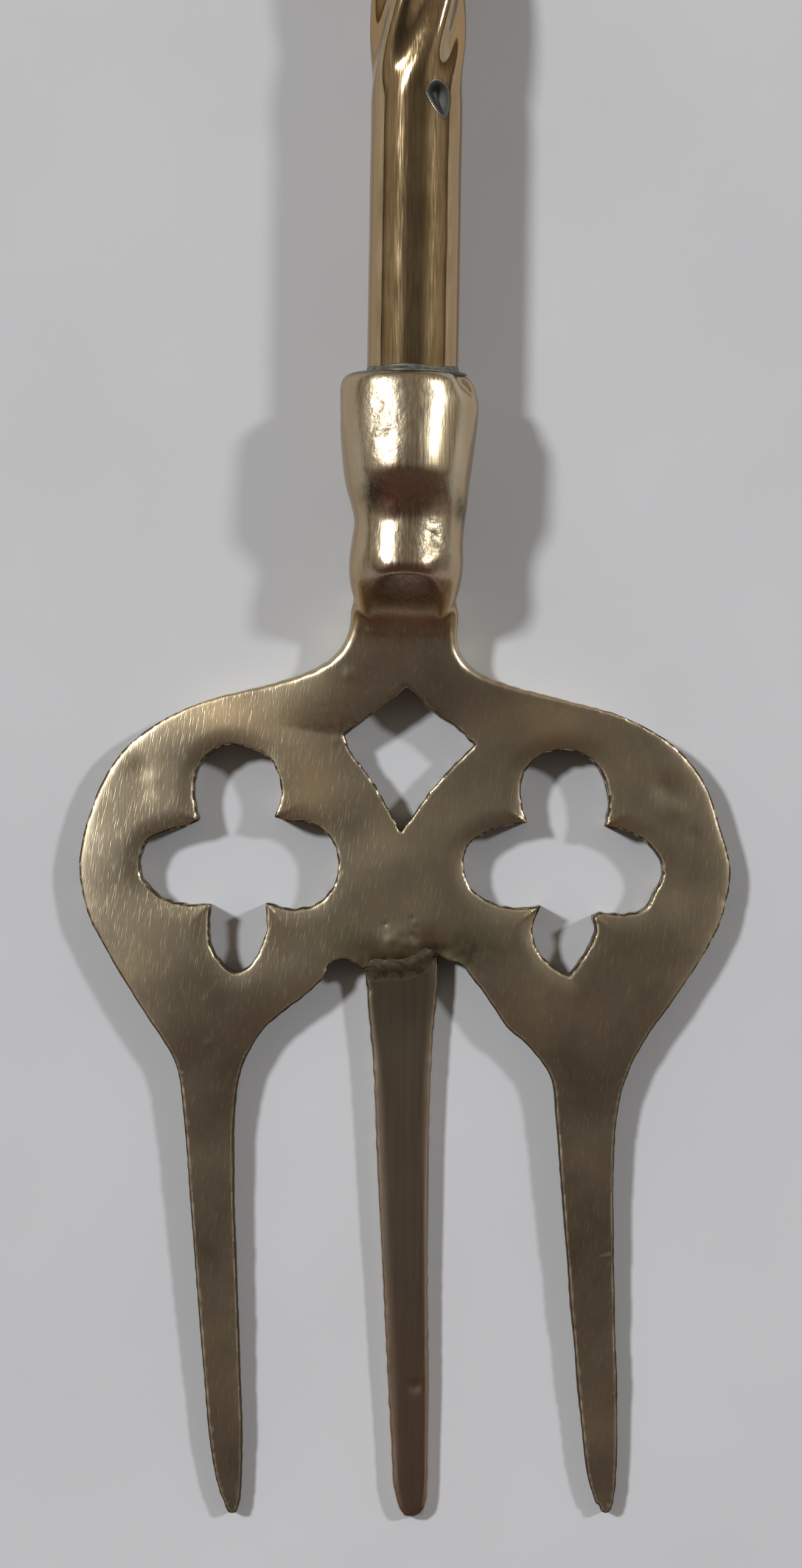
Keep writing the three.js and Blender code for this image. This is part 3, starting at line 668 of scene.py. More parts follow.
# %% Centre tine
TINE_STEP = 0.22
TINE_EDGES = [
    (1560, 598, 720), (1622, 602, 719), (1685, 607, 713), (1750, 613, 709), (1900, 619, 705),
    (2110, 629, 704), (2290, 638, 705), (2380, 643, 704), (2440, 646, 703), (2465, 651, 701),
    (2480, 656, 698), (2490, 663, 694), (2500, 667, 690),
]
TINE_PICKED_AT = 2.0
TINE_ROOT_THICKNESS, TINE_END_THICKNESS = 2.6, 1.7
TINE_ROUND = 0.1
TINE_WOBBLE, TINE_WOBBLE_LENGTH = 0.04, 1.5
TIP_SHORT = 0.1
TANG_HALF_WIDTH = 3.0
TANG_PLAY = 0.1
LEFT_CHAMFER = [(1600, 0.2), (1800, 0.9), (2250, 1.0), (2500, 0.4)]
RIGHT_CHAMFER = [(1600, 1.1), (1750, 0.9), (2000, 0.5), (2500, 0.3)]
CHAMFER_DROP = 0.22
TINE_DENTS = [
    (681, 2278, 2.0, 0.6, 0.15), (604, 1625, 2.0, 0.5, 0.15), (690, 2488, 1.5, 0.5, 0.2),
]


def width_along(table, y):
    """A width in millimetres at each y, from a table of pixel rows and widths."""
    rows, widths = np.transpose(table)
    row_y = at_pixel(PHOTO_WIDTH / 2, rows)[1]
    return np.interp(y, row_y[::-1], widths[::-1])


def tine_field(x, y, z):
    """Distance to the chamfered bar and its tang."""
    rows = smooth_run(TINE_EDGES)
    left_x, row_y = at_pixel(rows[:, 1], rows[:, 0], TINE_PICKED_AT)
    right_x, _ = at_pixel(rows[:, 2], rows[:, 0], TINE_PICKED_AT)
    wobble = TINE_WOBBLE * ripple(x, y, 0 * z[:, :, :1], TINE_WOBBLE_LENGTH, seed=3)
    left = np.interp(y, row_y[::-1], left_x[::-1]) - x
    right = x - np.interp(y, row_y[::-1], right_x[::-1])
    share = (y - TIPS_Y) / (crotch_y - TIPS_Y)
    thicker = (TINE_ROOT_THICKNESS - TINE_END_THICKNESS) * np.minimum(share, 1)
    top = z - TINE_END_THICKNESS - thicker
    bar = trim(np.maximum(left, right) + wobble, np.maximum(top, -z), TINE_ROUND)
    for side, table in ((left, LEFT_CHAMFER), (right, RIGHT_CHAMFER)):
        fall = CHAMFER_DROP / width_along(table, y)
        bar = trim(bar, (top + CHAMFER_DROP + side * fall) / np.hypot(1, fall), TINE_ROUND)
    bar = trim(bar, np.maximum(TIPS_Y + TIP_SHORT - y, y - lip_y(x)), TINE_ROUND)
    tang = np.maximum(np.abs(x) - TANG_HALF_WIDTH, z - POCKET_TOP + TANG_PLAY)
    tang = np.maximum(tang, np.maximum(crotch_y - POCKET_BELOW - y, y - tine_high[1]))
    return np.maximum(np.minimum(bar, tang), -z)


tine_from = tine_low - MARGIN
x, y, z = grid(tine_from, tine_high + MARGIN, TINE_STEP)
centre_tine = piece_from_field(
    "centre_tine_bar", dented(tine_field(x, y, z), x, y, z, TINE_DENTS),
    tine_from, TINE_STEP, 1, "fork", "forged_brass", "centre_tine",
)

# %% [markdown]
# ## The braze
#
# Braze fills the pocket on both sides of the tang and at its end. At the front it crept over the
# plate's lip and down onto the tine, and fades out on both. That soft bridge is what a melted
# field adds to plate and tine, so the same functions give it. Its thin edges are marked sharp,
# because shading that runs round a feather edge would draw a bright line there.

# %% Braze
BRAZE_STEP = 0.18
BRAZE_SINK = 0.15
BRAZE_WOBBLE, BRAZE_WOBBLE_LENGTH = 0.08, 2.5
BRAZE_OVERLAP = 0.1
BRAZE_EDGE_ROUND = 0.2
BRAZE_FILLET, BRAZE_LEAST_FILLET = 2.2, 0.1
BRAZE_FADE_FROM, BRAZE_CREEP = -0.4, 1.8
BRAZE_MIDDLE, BRAZE_SIDE_FROM, BRAZE_SIDE_TO = -0.3, 2.6, 4.4
BRAZE_SKIN, BRAZE_KEY = 0.03, 0.12
BRAZE_FLOOR = 0.3
BRAZE_LEFT, BRAZE_RIGHT, BRAZE_BELOW, BRAZE_TOP = -7.5, 9.5, 5.0, 5.0
BRAZE_SHARP = math.radians(45)
braze_low, braze_high = node_box("tine_braze")


def braze_behind(x, y, z):
    """Distance to the U of braze round the tang, a little hollow at the back."""
    block = np.maximum(braze_low[1] - y, y - braze_high[1] - BRAZE_OVERLAP)
    block = np.maximum(np.abs(x) - POCKET_HALF_WIDTH - BRAZE_OVERLAP, block)
    tang = np.maximum(np.abs(x) - TANG_HALF_WIDTH + BRAZE_OVERLAP, y - tine_high[1] + BRAZE_OVERLAP)
    hollow = BRAZE_SINK + BRAZE_WOBBLE * ripple(x, y, z, BRAZE_WOBBLE_LENGTH, seed=4) - z
    filling = np.maximum(np.maximum(block, -tang), z - POCKET_TOP - BRAZE_OVERLAP)
    return trim(filling, hollow, BRAZE_EDGE_ROUND)


def braze_in_front(x, y, z):
    """Distance to the fillet between the plate's lip and the tine."""
    plate = dented(plate_field(x, y, z), x, y, z, PLATE_DENTS) + mould_wobble(x, y, z)
    bar = tine_field(x, y, z)
    above_lip = y - lip_y(x)
    fades = 1 - ease(above_lip, BRAZE_FADE_FROM, BRAZE_CREEP)
    fades = fades * (1 - ease(np.abs(x - BRAZE_MIDDLE), BRAZE_SIDE_FROM, BRAZE_SIDE_TO))
    filled = melt(plate, bar, BRAZE_LEAST_FILLET + BRAZE_FILLET * fades) + BRAZE_SKIN
    fillet = np.maximum(filled, -np.minimum(plate, bar) - BRAZE_KEY)
    return np.maximum(np.maximum(fillet, above_lip - BRAZE_CREEP), BRAZE_FLOOR - z)


braze_from = np.array([BRAZE_LEFT, crotch_y - BRAZE_BELOW, -MARGIN])
braze_to = np.array([BRAZE_RIGHT, braze_high[1] + MARGIN, BRAZE_TOP])
x, y, z = grid(braze_from, braze_to, BRAZE_STEP)
tine_braze = piece_from_field(
    "tine_braze_fill", np.minimum(braze_behind(x, y, z), braze_in_front(x, y, z)),
    braze_from, BRAZE_STEP, 1, "fork", "braze", "tine_braze",
)
tine_braze.data.set_sharp_from_angle(angle=BRAZE_SHARP)

# %% [markdown]
# ## The stem
#
# The stem is a tube with six flutes pressed into it and twisted. It is plain above the socket.
# Where the twist starts, one flute buckled into a deep teardrop. Rings of points along the axis
# fit it better than a grid would: each ring's radius swells on the lands and sinks in the flutes,
# and the pattern turns once in each lead of the twist. The rings lie closest where the flutes
# begin.

# %% Shape of the stem
STEM_RADIUS = 4.8
STEM_BORE = 6.2
PLAIN_LENGTH = 29.0
GRIP_LENGTH = 12.0
FLUTE_COUNT = 6
FLUTE_DEPTH = 0.5
LAND_SWELL = 0.25
FLUTE_RUN_IN, FLUTE_RUN_OUT = 1.0, 7.0
TWIST_LEAD = 80.0
FIRST_LAND = math.radians(-2)
TEARDROP = [
    (700, 150), (707, 137), (721, 130), (735, 138), (739, 165), (731, 190), (714, 173), (700, 150),
]
twist_start = MOUTH_Y + PLAIN_LENGTH
twist_end = CAP_MOUTH_Y - GRIP_LENGTH


def stem_radius(angle, y):
    """The tube's outer radius at an angle from the front and a place along the axis."""
    fluted = ease(y, twist_start - FLUTE_RUN_IN, twist_start + FLUTE_RUN_OUT)
    fluted = fluted * (1 - ease(y, twist_end - FLUTE_RUN_OUT, twist_end))
    turn = FIRST_LAND + 2 * math.pi * (y - twist_start) / TWIST_LEAD
    land = 0.5 + 0.5 * np.cos(FLUTE_COUNT * (angle - turn))
    return STEM_RADIUS + fluted * (LAND_SWELL * land - FLUTE_DEPTH * (1 - land))


def into_teardrop(angle, y):
    """Distance inside the buckled start of the first flute, on the unrolled tube."""
    pixels = smooth_run(TEARDROP)
    drop_x, drop_y = at_pixel(pixels[:, 0], pixels[:, 1], AXIS_Z + STEM_RADIUS)
    drop = np.stack([STEM_RADIUS * np.arcsin(drop_x / STEM_RADIUS), drop_y], axis=1)
    around = STEM_RADIUS * ((angle + math.pi) % (2 * math.pi) - math.pi)
    return -outline_distance(around, y, drop)


print(f"twisted for {twist_end - twist_start:.0f} mm, {TWIST_LEAD:.0f} mm to a turn")

# %% Stem tube
STEM_STEPS_ROUND = 160
PLAIN_STEP, FINE_STEP, TWIST_STEP = 1.0, 0.16, 0.9
FINE_BEFORE, FINE_AFTER = 6, 14
STEM_WOBBLE, STEM_WOBBLE_LENGTH, STEM_WOBBLE_AT = 0.02, 9.0, 5
TEARDROP_DEPTH = 0.95
TEARDROP_EDGE, TEARDROP_WALL = 0.05, 1.1
DROP_DARK_FROM, DROP_DARK_TO = -0.3, -0.05
SIDE_FROM, SIDE_TO = 0.72, 0.92
SIDE_REDNESS = 0.5

stem_y = np.concatenate([
    np.arange(stem_low[1], twist_start - FINE_BEFORE, PLAIN_STEP),
    np.arange(twist_start - FINE_BEFORE, twist_start + FINE_AFTER, FINE_STEP),
    np.arange(twist_start + FINE_AFTER, stem_high[1], TWIST_STEP),
    [stem_high[1]],
])[:, None]
angle = np.linspace(0, 2 * math.pi, STEM_STEPS_ROUND, endpoint=False)[None, :]
across, upward = np.sin(angle), np.cos(angle)
inside_drop = into_teardrop(angle, stem_y)
radius = stem_radius(angle, stem_y) - TEARDROP_DEPTH * ease(inside_drop, TEARDROP_EDGE, TEARDROP_WALL)
radius = radius + STEM_WOBBLE * ripple(
    across * STEM_WOBBLE_AT, stem_y, upward * STEM_WOBBLE_AT, STEM_WOBBLE_LENGTH, seed=5
)
bore = np.full((2, STEM_STEPS_ROUND), STEM_BORE / 2)
ring_radius = np.concatenate([radius, bore])
ring_y = np.concatenate([stem_y, stem_y[[-1, 0]]]) + 0 * angle
stem_points = np.stack([ring_radius * across, ring_y, AXIS_Z + ring_radius * upward], axis=-1)
stem_tube = piece_from_rings("stem_twisted_tube", stem_points, "fork", "tube_brass", "stem_tube")
# The teardrop is darkened, as verdigris and as painted shade in its deep pocket and over its rim; the
# flanks get a painted reflection of the table, and the right flank a red tint
in_drop = ease(inside_drop, DROP_DARK_FROM, DROP_DARK_TO)
side = np.concatenate([ease(np.abs(across), SIDE_FROM, SIDE_TO) + 0 * radius, 0 * bore])
store(stem_tube, "grime_and_painted_shade", np.concatenate([in_drop, 0 * bore]).ravel())
store(stem_tube, "side", side.ravel())
store(stem_tube, "red_tint", SIDE_REDNESS * (side * (across > 0)).ravel())

# %% [markdown]
# ## The solder at both mouths
#
# Soft solder was run into the gap between tube and socket and left a thin hollow fillet. It is a
# small profile turned about the stem's axis, with its height and width wandering round the rim.

# %% Solder fillets
SOLDER_RISE, SOLDER_SPREAD = 0.6, 0.95
SOLDER_HOLLOW = 0.85
SOLDER_WANDER, SOLDER_WANDER_LENGTH, SOLDER_WANDER_AT = 0.22, 4.0, 6
SOLDER_INNER = STEM_RADIUS + 0.02
SOLDER_OUTER = SOCKET_BORE / 2 + 0.05
SOLDER_DEPTH = 0.4
SOLDER_STEPS_ROUND = 144
SOLDER_PROFILE_STEPS = 9


def solder_fillet(name, node, mouth_y, direction, seed):
    """A hollow fillet of solder on a mouth, facing along the stem."""
    turn = np.linspace(0, 2 * math.pi, SOLDER_STEPS_ROUND, endpoint=False)[None, :]
    across, upward = np.sin(turn), np.cos(turn)
    wander = 1 + SOLDER_WANDER * ripple(
        SOLDER_WANDER_AT * across, SOLDER_WANDER_AT * upward, 0, SOLDER_WANDER_LENGTH, seed
    )
    share = np.linspace(0, 1, SOLDER_PROFILE_STEPS)[:, None]
    hollow = (1 - np.sqrt(1 - (1 - share) ** 2)) * SOLDER_HOLLOW
    out = SOLDER_INNER + SOLDER_SPREAD * wander * hollow
    along = SOLDER_RISE * wander * share
    root = np.full_like(out[:1], -SOLDER_DEPTH)
    out = np.concatenate([out, np.full_like(root, SOLDER_INNER), np.full_like(root, SOLDER_OUTER)])
    along = np.concatenate([along, root, root])
    points = np.stack([out * across, mouth_y + direction * along, AXIS_Z + out * upward], axis=-1)
    return piece_from_rings(name, points, "fork", "solder", node)


socket_solder = solder_fillet("socket_solder_fillet", "socket_solder", MOUTH_Y, 1, seed=6)
cap_solder = solder_fillet("cap_solder_fillet", "cap_solder", CAP_MOUTH_Y, -1, seed=7)

# %% [markdown]
# ## The handle cap
#
# The photograph ends before the handle does, so the cap is a guess that repeats the socket's
# baluster shape and closes in a small dome with a cast eye. As a casting it is a field again: a
# turned body with a flattened ring melted onto it.

# %% Handle cap
CAP_STEP = 0.26
CAP_PROFILE = [
    (0, 6.3), (3, 7.2), (11, 6.4), (15.2, 5.7), (19.4, 5.9), (22.2, 4.6), (23.7, 2.2), (24.2, 0.2),
]
CAP_LENGTH = CAP_PROFILE[-1][0]
CAP_FIELD_SLOPE = 0.8
CAP_WOBBLE, CAP_WOBBLE_LENGTH = 0.03, 6.0
EYE_RADIUS = 3.05
EYE_WIRE = 1.15
EYE_HALF_WIDTH = 1.7
EYE_FILLET = 0.9


def cap_field(x, y, z):
    """Distance to the cap with its eye and its bore."""
    up = y - CAP_MOUTH_Y
    from_axis = np.hypot(x, z - AXIS_Z)
    from_eye = np.hypot(y - EYE_Y, z - AXIS_Z)
    profile = smooth_run(CAP_PROFILE)
    body = CAP_FIELD_SLOPE * (from_axis - np.interp(up, profile[:, 0], profile[:, 1]))
    body = trim(body, np.maximum(-up, up - CAP_LENGTH), LIP_ROUND)
    eye = EYE_WIRE * (np.hypot((from_eye - EYE_RADIUS) / EYE_WIRE, x / EYE_HALF_WIDTH) - 1)
    wobble = CAP_WOBBLE * ripple(x, y, z, CAP_WOBBLE_LENGTH, seed=8)
    cast = melt(body, eye, EYE_FILLET) + wobble
    hole = from_eye - (EYE_RADIUS - EYE_WIRE)
    bore = np.maximum(from_axis - SOCKET_BORE / 2, up - SOCKET_DEPTH)
    return np.maximum(np.maximum(cast, -hole), -bore)


cap_from = cap_low - MARGIN
handle_cap = piece_from_field(
    "handle_cap_casting", cap_field(*grid(cap_from, cap_high + MARGIN, CAP_STEP)),
    cap_from, CAP_STEP, 2, "fork", "cast_brass", "handle_cap",
)

# %% [markdown]
# ## The hanging ring
#
# A loose ring of round wire hangs in the eye, its ends butted and brazed. It droops until it meets
# the table. Rings of points round a circle make it, with a shallow groove at the joint.

# %% Hanging ring
RING_RADIUS = 12.0
RING_WIRE = 2.4
RING_STEPS = 180
WIRE_STEPS = 32
WIRE_WEAR, WIRE_WEAR_LENGTH, WIRE_WEAR_AT = 0.015, 6.0, 8
JOINT_AT = math.radians(62)
JOINT_WIDTH = math.radians(1.2)
JOINT_DEPTH = 0.12
droop = math.asin((AXIS_Z - RING_WIRE / 2) / (2 * RING_RADIUS))

round_ring = np.linspace(0, 2 * math.pi, RING_STEPS, endpoint=False)[:, None]
round_wire = np.linspace(0, 2 * math.pi, WIRE_STEPS, endpoint=False)[None, :]
ring_across, ring_along = np.sin(round_ring), np.cos(round_ring)
wear = 1 + ripple(
    WIRE_WEAR_AT * ring_across, WIRE_WEAR_AT * ring_along, round_wire, WIRE_WEAR_LENGTH, seed=9
)
wire = RING_WIRE / 2 - JOINT_DEPTH * np.exp(-((round_ring - JOINT_AT) / JOINT_WIDTH) ** 2)
wire = wire - WIRE_WEAR * wear
reach = RING_RADIUS + wire * np.cos(round_wire)
flat_y = RING_RADIUS + reach * ring_along
flat_z = wire * np.sin(round_wire)
ring_points = np.stack([
    reach * ring_across,
    EYE_Y + flat_y * math.cos(droop) + flat_z * math.sin(droop),
    AXIS_Z - flat_y * math.sin(droop) + flat_z * math.cos(droop),
], axis=-1)
hanging_ring = piece_from_rings("hanging_ring_wire", ring_points, "ring", "wire_brass", "hanging_ring")

# %% [markdown]
# ## Where the surface was worked
#
# A finish changes over a piece: fresh linishing lines on one lobe, polish on the socket, grime in
# the corners, rubbed places, red tints, dark edges. Several of them are painted light, in part or
# in whole: painted shade in the lobes' dents, on the socket's waist, bead and scoop and above the
# crease; painted sheen on the rubbed places; painted reflections in the socket's red tints and in
# the gold of its and the stem's flanks; and painted shade along the dark edges, which are partly
# tarnish. Each such place is a mask, one number per point, which follows from the shape or from a
# picked pixel with two radii. Painting by hand on an image would do the same, but masks stay with
# the mesh and need no picture.

# %% Spots on the head
# A spot is a weight, a pixel, the surface's height there, and radii across and along the fork
# Darkened spots: real grime in the crevices by the tine's lip and on the socket's right flank, and
# painted shade in the lobes' dents, on the socket's waist, bead and scoop, and over the drum's left
# highlight
GRIME_AND_SHADE_SPOTS = [
    (0.75, 655, 1582, 3.0, 4.0, 1.2), (0.3, 575, 1548, 3.5, 2.6, 2.0), (0.6, 772, 1562, 3.5, 3.0, 2.4),
    (1.0, 757, 838, 9.0, 0.7, 1.6), (0.7, 715, 1556, 3.0, 3.0, 0.6), (0.4, 228, 1264, 3.5, 1.2, 1.2),
    (0.35, 1090, 1282, 3.5, 1.3, 1.1), (0.55, 628, 690, 13.5, 1.5, 4.0), (0.35, 632, 988, 8.0, 2.4, 1.7),
    (0.3, 690, 985, 8.0, 3.0, 1.6), (0.6, 660, 960, 9.0, 4.2, 1.3), (0.8, 611, 810, 12.0, 1.4, 1.5),
    (0.75, 712, 895, 12.0, 1.6, 2.8),
]
TINT_SPOTS = {
    # Rubbed places: worn lighter, and painted lighter still as a painted sheen where the lamps'
    # reflections brighten the shoulders and the lobe left of the kite
    "rubbed_and_painted_sheen": [
        (1.0, 385, 1176, 3.5, 7.0, 2.4), (0.9, 505, 1285, 3.8, 3.0, 4.0), (0.7, 900, 1185, 3.5, 6.0, 2.5),
    ],
    # Red tints on the socket's waist and scoop: painted reflections of the red-brown room beyond the
    # tips, not reddened metal
    "red_tint": [
        (1.0, 690, 975, 8.0, 4.6, 2.6), (0.3, 660, 815, 12.0, 4.4, 2.4), (0.7, 646, 806, 12.5, 0.8, 1.8),
    ],
    "greened": [
        (0.8, 660, 1574, 3.2, 5.0, 1.8), (0.4, 570, 1536, 3.5, 2.8, 2.0), (0.5, 766, 1550, 3.5, 2.6, 2.4),
    ],
}
PITTED_SPOTS = [(1.0, 630, 690, 13.5, 2.2, 4.5), (1.0, 712, 892, 12.0, 1.6, 2.6)]
head_x, head_y, head_z = points_of(fork_head).T


def spot(weight, u, v, height, radius_x, radius_y):
    """A soft round mask on the head about a picked pixel."""
    spot_x, spot_y = at_pixel(u, v, height)
    square = ((head_x - spot_x) / radius_x) ** 2 + ((head_y - spot_y) / radius_y) ** 2
    return weight * np.exp(-square)


print(f"{len(GRIME_AND_SHADE_SPOTS)} spots of grime on {len(head_x)} points of the head")

# %% Masks on the head
# Pairs of millimetres between which a finish changes
POLISH_BELOW_MOUTH = (25, 29)
NECK_SHADE_BELOW_MOUTH = (31, 37)
LINISHED_BELOW_MOUTH = (52, 74)
LINISHED_ACROSS = (-3, 14)
NECK_SHADE_ACROSS = (0, 9)
BELOW_CREASE = (-0.3, 0.5)
CREASE_STARTS = (-1, 5)
LINES_LOST = 0.65
# Strength of the painted shade above the crease, where the plate rises towards the neck
NECK_PAINTED_SHADE = 0.4
MOUTH_GRIME, MOUTH_GRIME_REACH = 0.8, 0.5
FLANK_FROM, FLANK_TO = 0.7, 0.92

below_mouth = MOUTH_Y - head_y
polish = 1 - ease(below_mouth, *POLISH_BELOW_MOUTH)
below_crease = ease(np.interp(head_x, crease_x, crease_y) - head_y, *BELOW_CREASE)
above_crease = (1 - below_crease) * ease(head_x - crease_x[0], *CREASE_STARTS)
linished = (1 - LINES_LOST * above_crease) * ease(-head_x, *LINISHED_ACROSS)
linished = linished * (1 - ease(below_mouth, *LINISHED_BELOW_MOUTH))
# Grime at the socket's mouth, then the spots of grime and painted shade
grime_and_painted_shade = MOUTH_GRIME * np.exp(-((below_mouth / MOUTH_GRIME_REACH) ** 2))
for picked in GRIME_AND_SHADE_SPOTS:
    grime_and_painted_shade = np.maximum(grime_and_painted_shade, spot(*picked))
# Painted shade above the crease near the neck, laid into the same mask
on_neck = (1 - ease(head_x, *NECK_SHADE_ACROSS)) * ease(below_mouth, *NECK_SHADE_BELOW_MOUTH)
store(fork_head, "linished", linished)
store(fork_head, "polish", polish)
store(fork_head, "grime_and_painted_shade", np.maximum(grime_and_painted_shade, NECK_PAINTED_SHADE * above_crease * on_neck))
for name, spots in TINT_SPOTS.items():
    store(fork_head, name, sum(spot(*picked) for picked in spots))
store(fork_head, "pitted", sum(spot(*picked) for picked in PITTED_SPOTS) * polish)
# The socket's flanks are tinted gold as a painted reflection of the table, which they mirror
turned_away = np.abs(head_x) / np.hypot(head_x, head_z - AXIS_Z)
store(fork_head, "side", polish * ease(turned_away, FLANK_FROM, FLANK_TO))

# %% Masks along edges and on the tine
EDGE_FROM, EDGE_TO = 0.14, 0.34
EDGE_BELOW_MOUTH = (32, 37)
TINE_EDGE_ABOVE_CROTCH = (-4, 6)
TONED_ABOVE_CROTCH = (-10, -1)
REDDENED_ABOVE_TIPS = (8, 32)
TINE_TONING, TINE_REDNESS = 0.6, 0.4

# Edges are darkened: partly tarnish, partly painted shade along the rounded rims, which also dims their
# highlights
from_edge = -outline_distance(head_x, head_y, plate_outline)
for piercing in piercings:
    from_edge = np.minimum(from_edge, outline_distance(head_x, head_y, piercing))
edge = (1 - ease(from_edge, EDGE_FROM, EDGE_TO)) * ease(below_mouth, *EDGE_BELOW_MOUTH)
store(fork_head, "edge", edge)
store(fork_head, "tine_edge", edge * (1 - ease(head_y - crotch_y, *TINE_EDGE_ABOVE_CROTCH)))
tine_y = points_of(centre_tine)[:, 1]
store(centre_tine, "toned", TINE_TONING * ease(tine_y - crotch_y, *TONED_ABOVE_CROTCH))
store(centre_tine, "red_tint", TINE_REDNESS * (1 - ease(tine_y - TIPS_Y, *REDDENED_ABOVE_TIPS)))

# %% [markdown]
# ## Helpers for materials
#
# Colours are written as sRGB hex, as a paint chart would give them, and turned to the linear
# numbers that the renderer works with. One small function adds any node with its settings, its
# socket values and its links. Patterns are noise whose patches have a real size in millimetres.

# %% Colour and node helpers
COLOUR_A, COLOUR_B, MIXED = 6, 7, 2


def colour(hex_code):
    """An sRGB hex colour as linear red, green and blue, with alpha."""
    parts = [int(hex_code[i:i + 2], 16) / 255 for i in (1, 3, 5)]
    linear = [c / 12.92 if c <= 0.04045 else ((c + 0.055) / 1.055) ** 2.4 for c in parts]
    return (*linear, 1.0)


def add_node(tree, kind, inputs=None, stops=None, **settings):
    """Adds one node: its settings, then each socket's value or link, then colour stops."""
    node = tree.nodes.new(kind)
    for name, value in settings.items():
        setattr(node, name, value)
    for name, value in (inputs or {}).items():
        if isinstance(value, bpy.types.NodeSocket):
            tree.links.new(value, node.inputs[name])
        else:
            node.inputs[name].default_value = value
    for i, (position, code) in enumerate(stops or []):
        elements = node.color_ramp.elements
        element = elements[i] if i < 2 else elements.new(position)
        element.position = position
        element.color = colour(code)
    return node


def patches_of(tree, size, detail, lean=0.0):
    """A noise pattern with patches of this size, in millimetres along X, Y and Z."""
    place = add_node(tree, "ShaderNodeTexCoord").outputs["Object"]
    sized = add_node(tree, "ShaderNodeMapping", {
        "Vector": place, "Rotation": (0, 0, lean), "Scale": [length * MM for length in size],
    }, vector_type="TEXTURE")
    noise = add_node(tree, "ShaderNodeTexNoise", {
        "Vector": sized.outputs[0], "Scale": 1.0, "Detail": detail,
    })
    return noise.outputs["Fac"]


def start_finish(name):
    """A new material with an empty node tree."""
    material = bpy.data.materials.new(name)
    material.use_nodes = True
    material.node_tree.nodes.clear()
    return material, material.node_tree


def close_finish(tree, inputs):
    """The shader at the end of a finish, linked to the output."""
    shader = add_node(tree, "ShaderNodeBsdfPrincipled", inputs)
    add_node(tree, "ShaderNodeOutputMaterial", {"Surface": shader.outputs["BSDF"]})


def dress(piece, material):
    """Gives a piece one finish."""
    piece.data.materials.clear()
    piece.data.materials.append(material)
    print(f"{piece.name}: {material.name}, {len(material.node_tree.nodes)} nodes")


print(f"a middle grey, #808080, is {colour('#808080')[0]:.3f} in linear numbers")

# %% [markdown]
# ## Cast brass, linished and toned
#
# The head is yellow brass cast in sand, dressed on a belt and toned by age. The eye gets a brown
# gold that wanders from olive to tan, fine lines along the fork where the belt ran, short bright
# scratches, partly bare metal and partly painted glints, a closer polish on the socket, small pits,
# dark edges, partly tarnish and partly painted shade, green-black grime where a cloth can't reach,
# and the painted shade, sheen and reflections that the masks ask for. The belt's lines are about a
# tenth of a millimetre apart on the metal and the scratches are finer still; both are drawn coarser
# so that they show.

# %% Cast brass
SCRATCH_WIDTH, SCRATCH_LENGTH = 0.12, 1.9
SCRATCH_DEPTH = 0.005
SCRATCH_LEAN = math.radians(-9)
LINE_WIDTH, LINE_LENGTH = 0.22, 7.0
LINE_DEPTH, FRESH_LINE_DEPTH, POLISHED_LINE_DEPTH = 0.004, 0.007, 0.003
TONE_SIZE = 11.0
FLECK_SIZE = 0.9
PIT_DEPTH = 0.16
HEAD_MASKS = ["linished", "polish", "grime_and_painted_shade", "pitted", "side", "edge", "tine_edge", *TINT_SPOTS]
GOLD_TONES = [(0.3, "#a89d84"), (0.7, "#cfc09f"), (0.5, "#bdb097")]


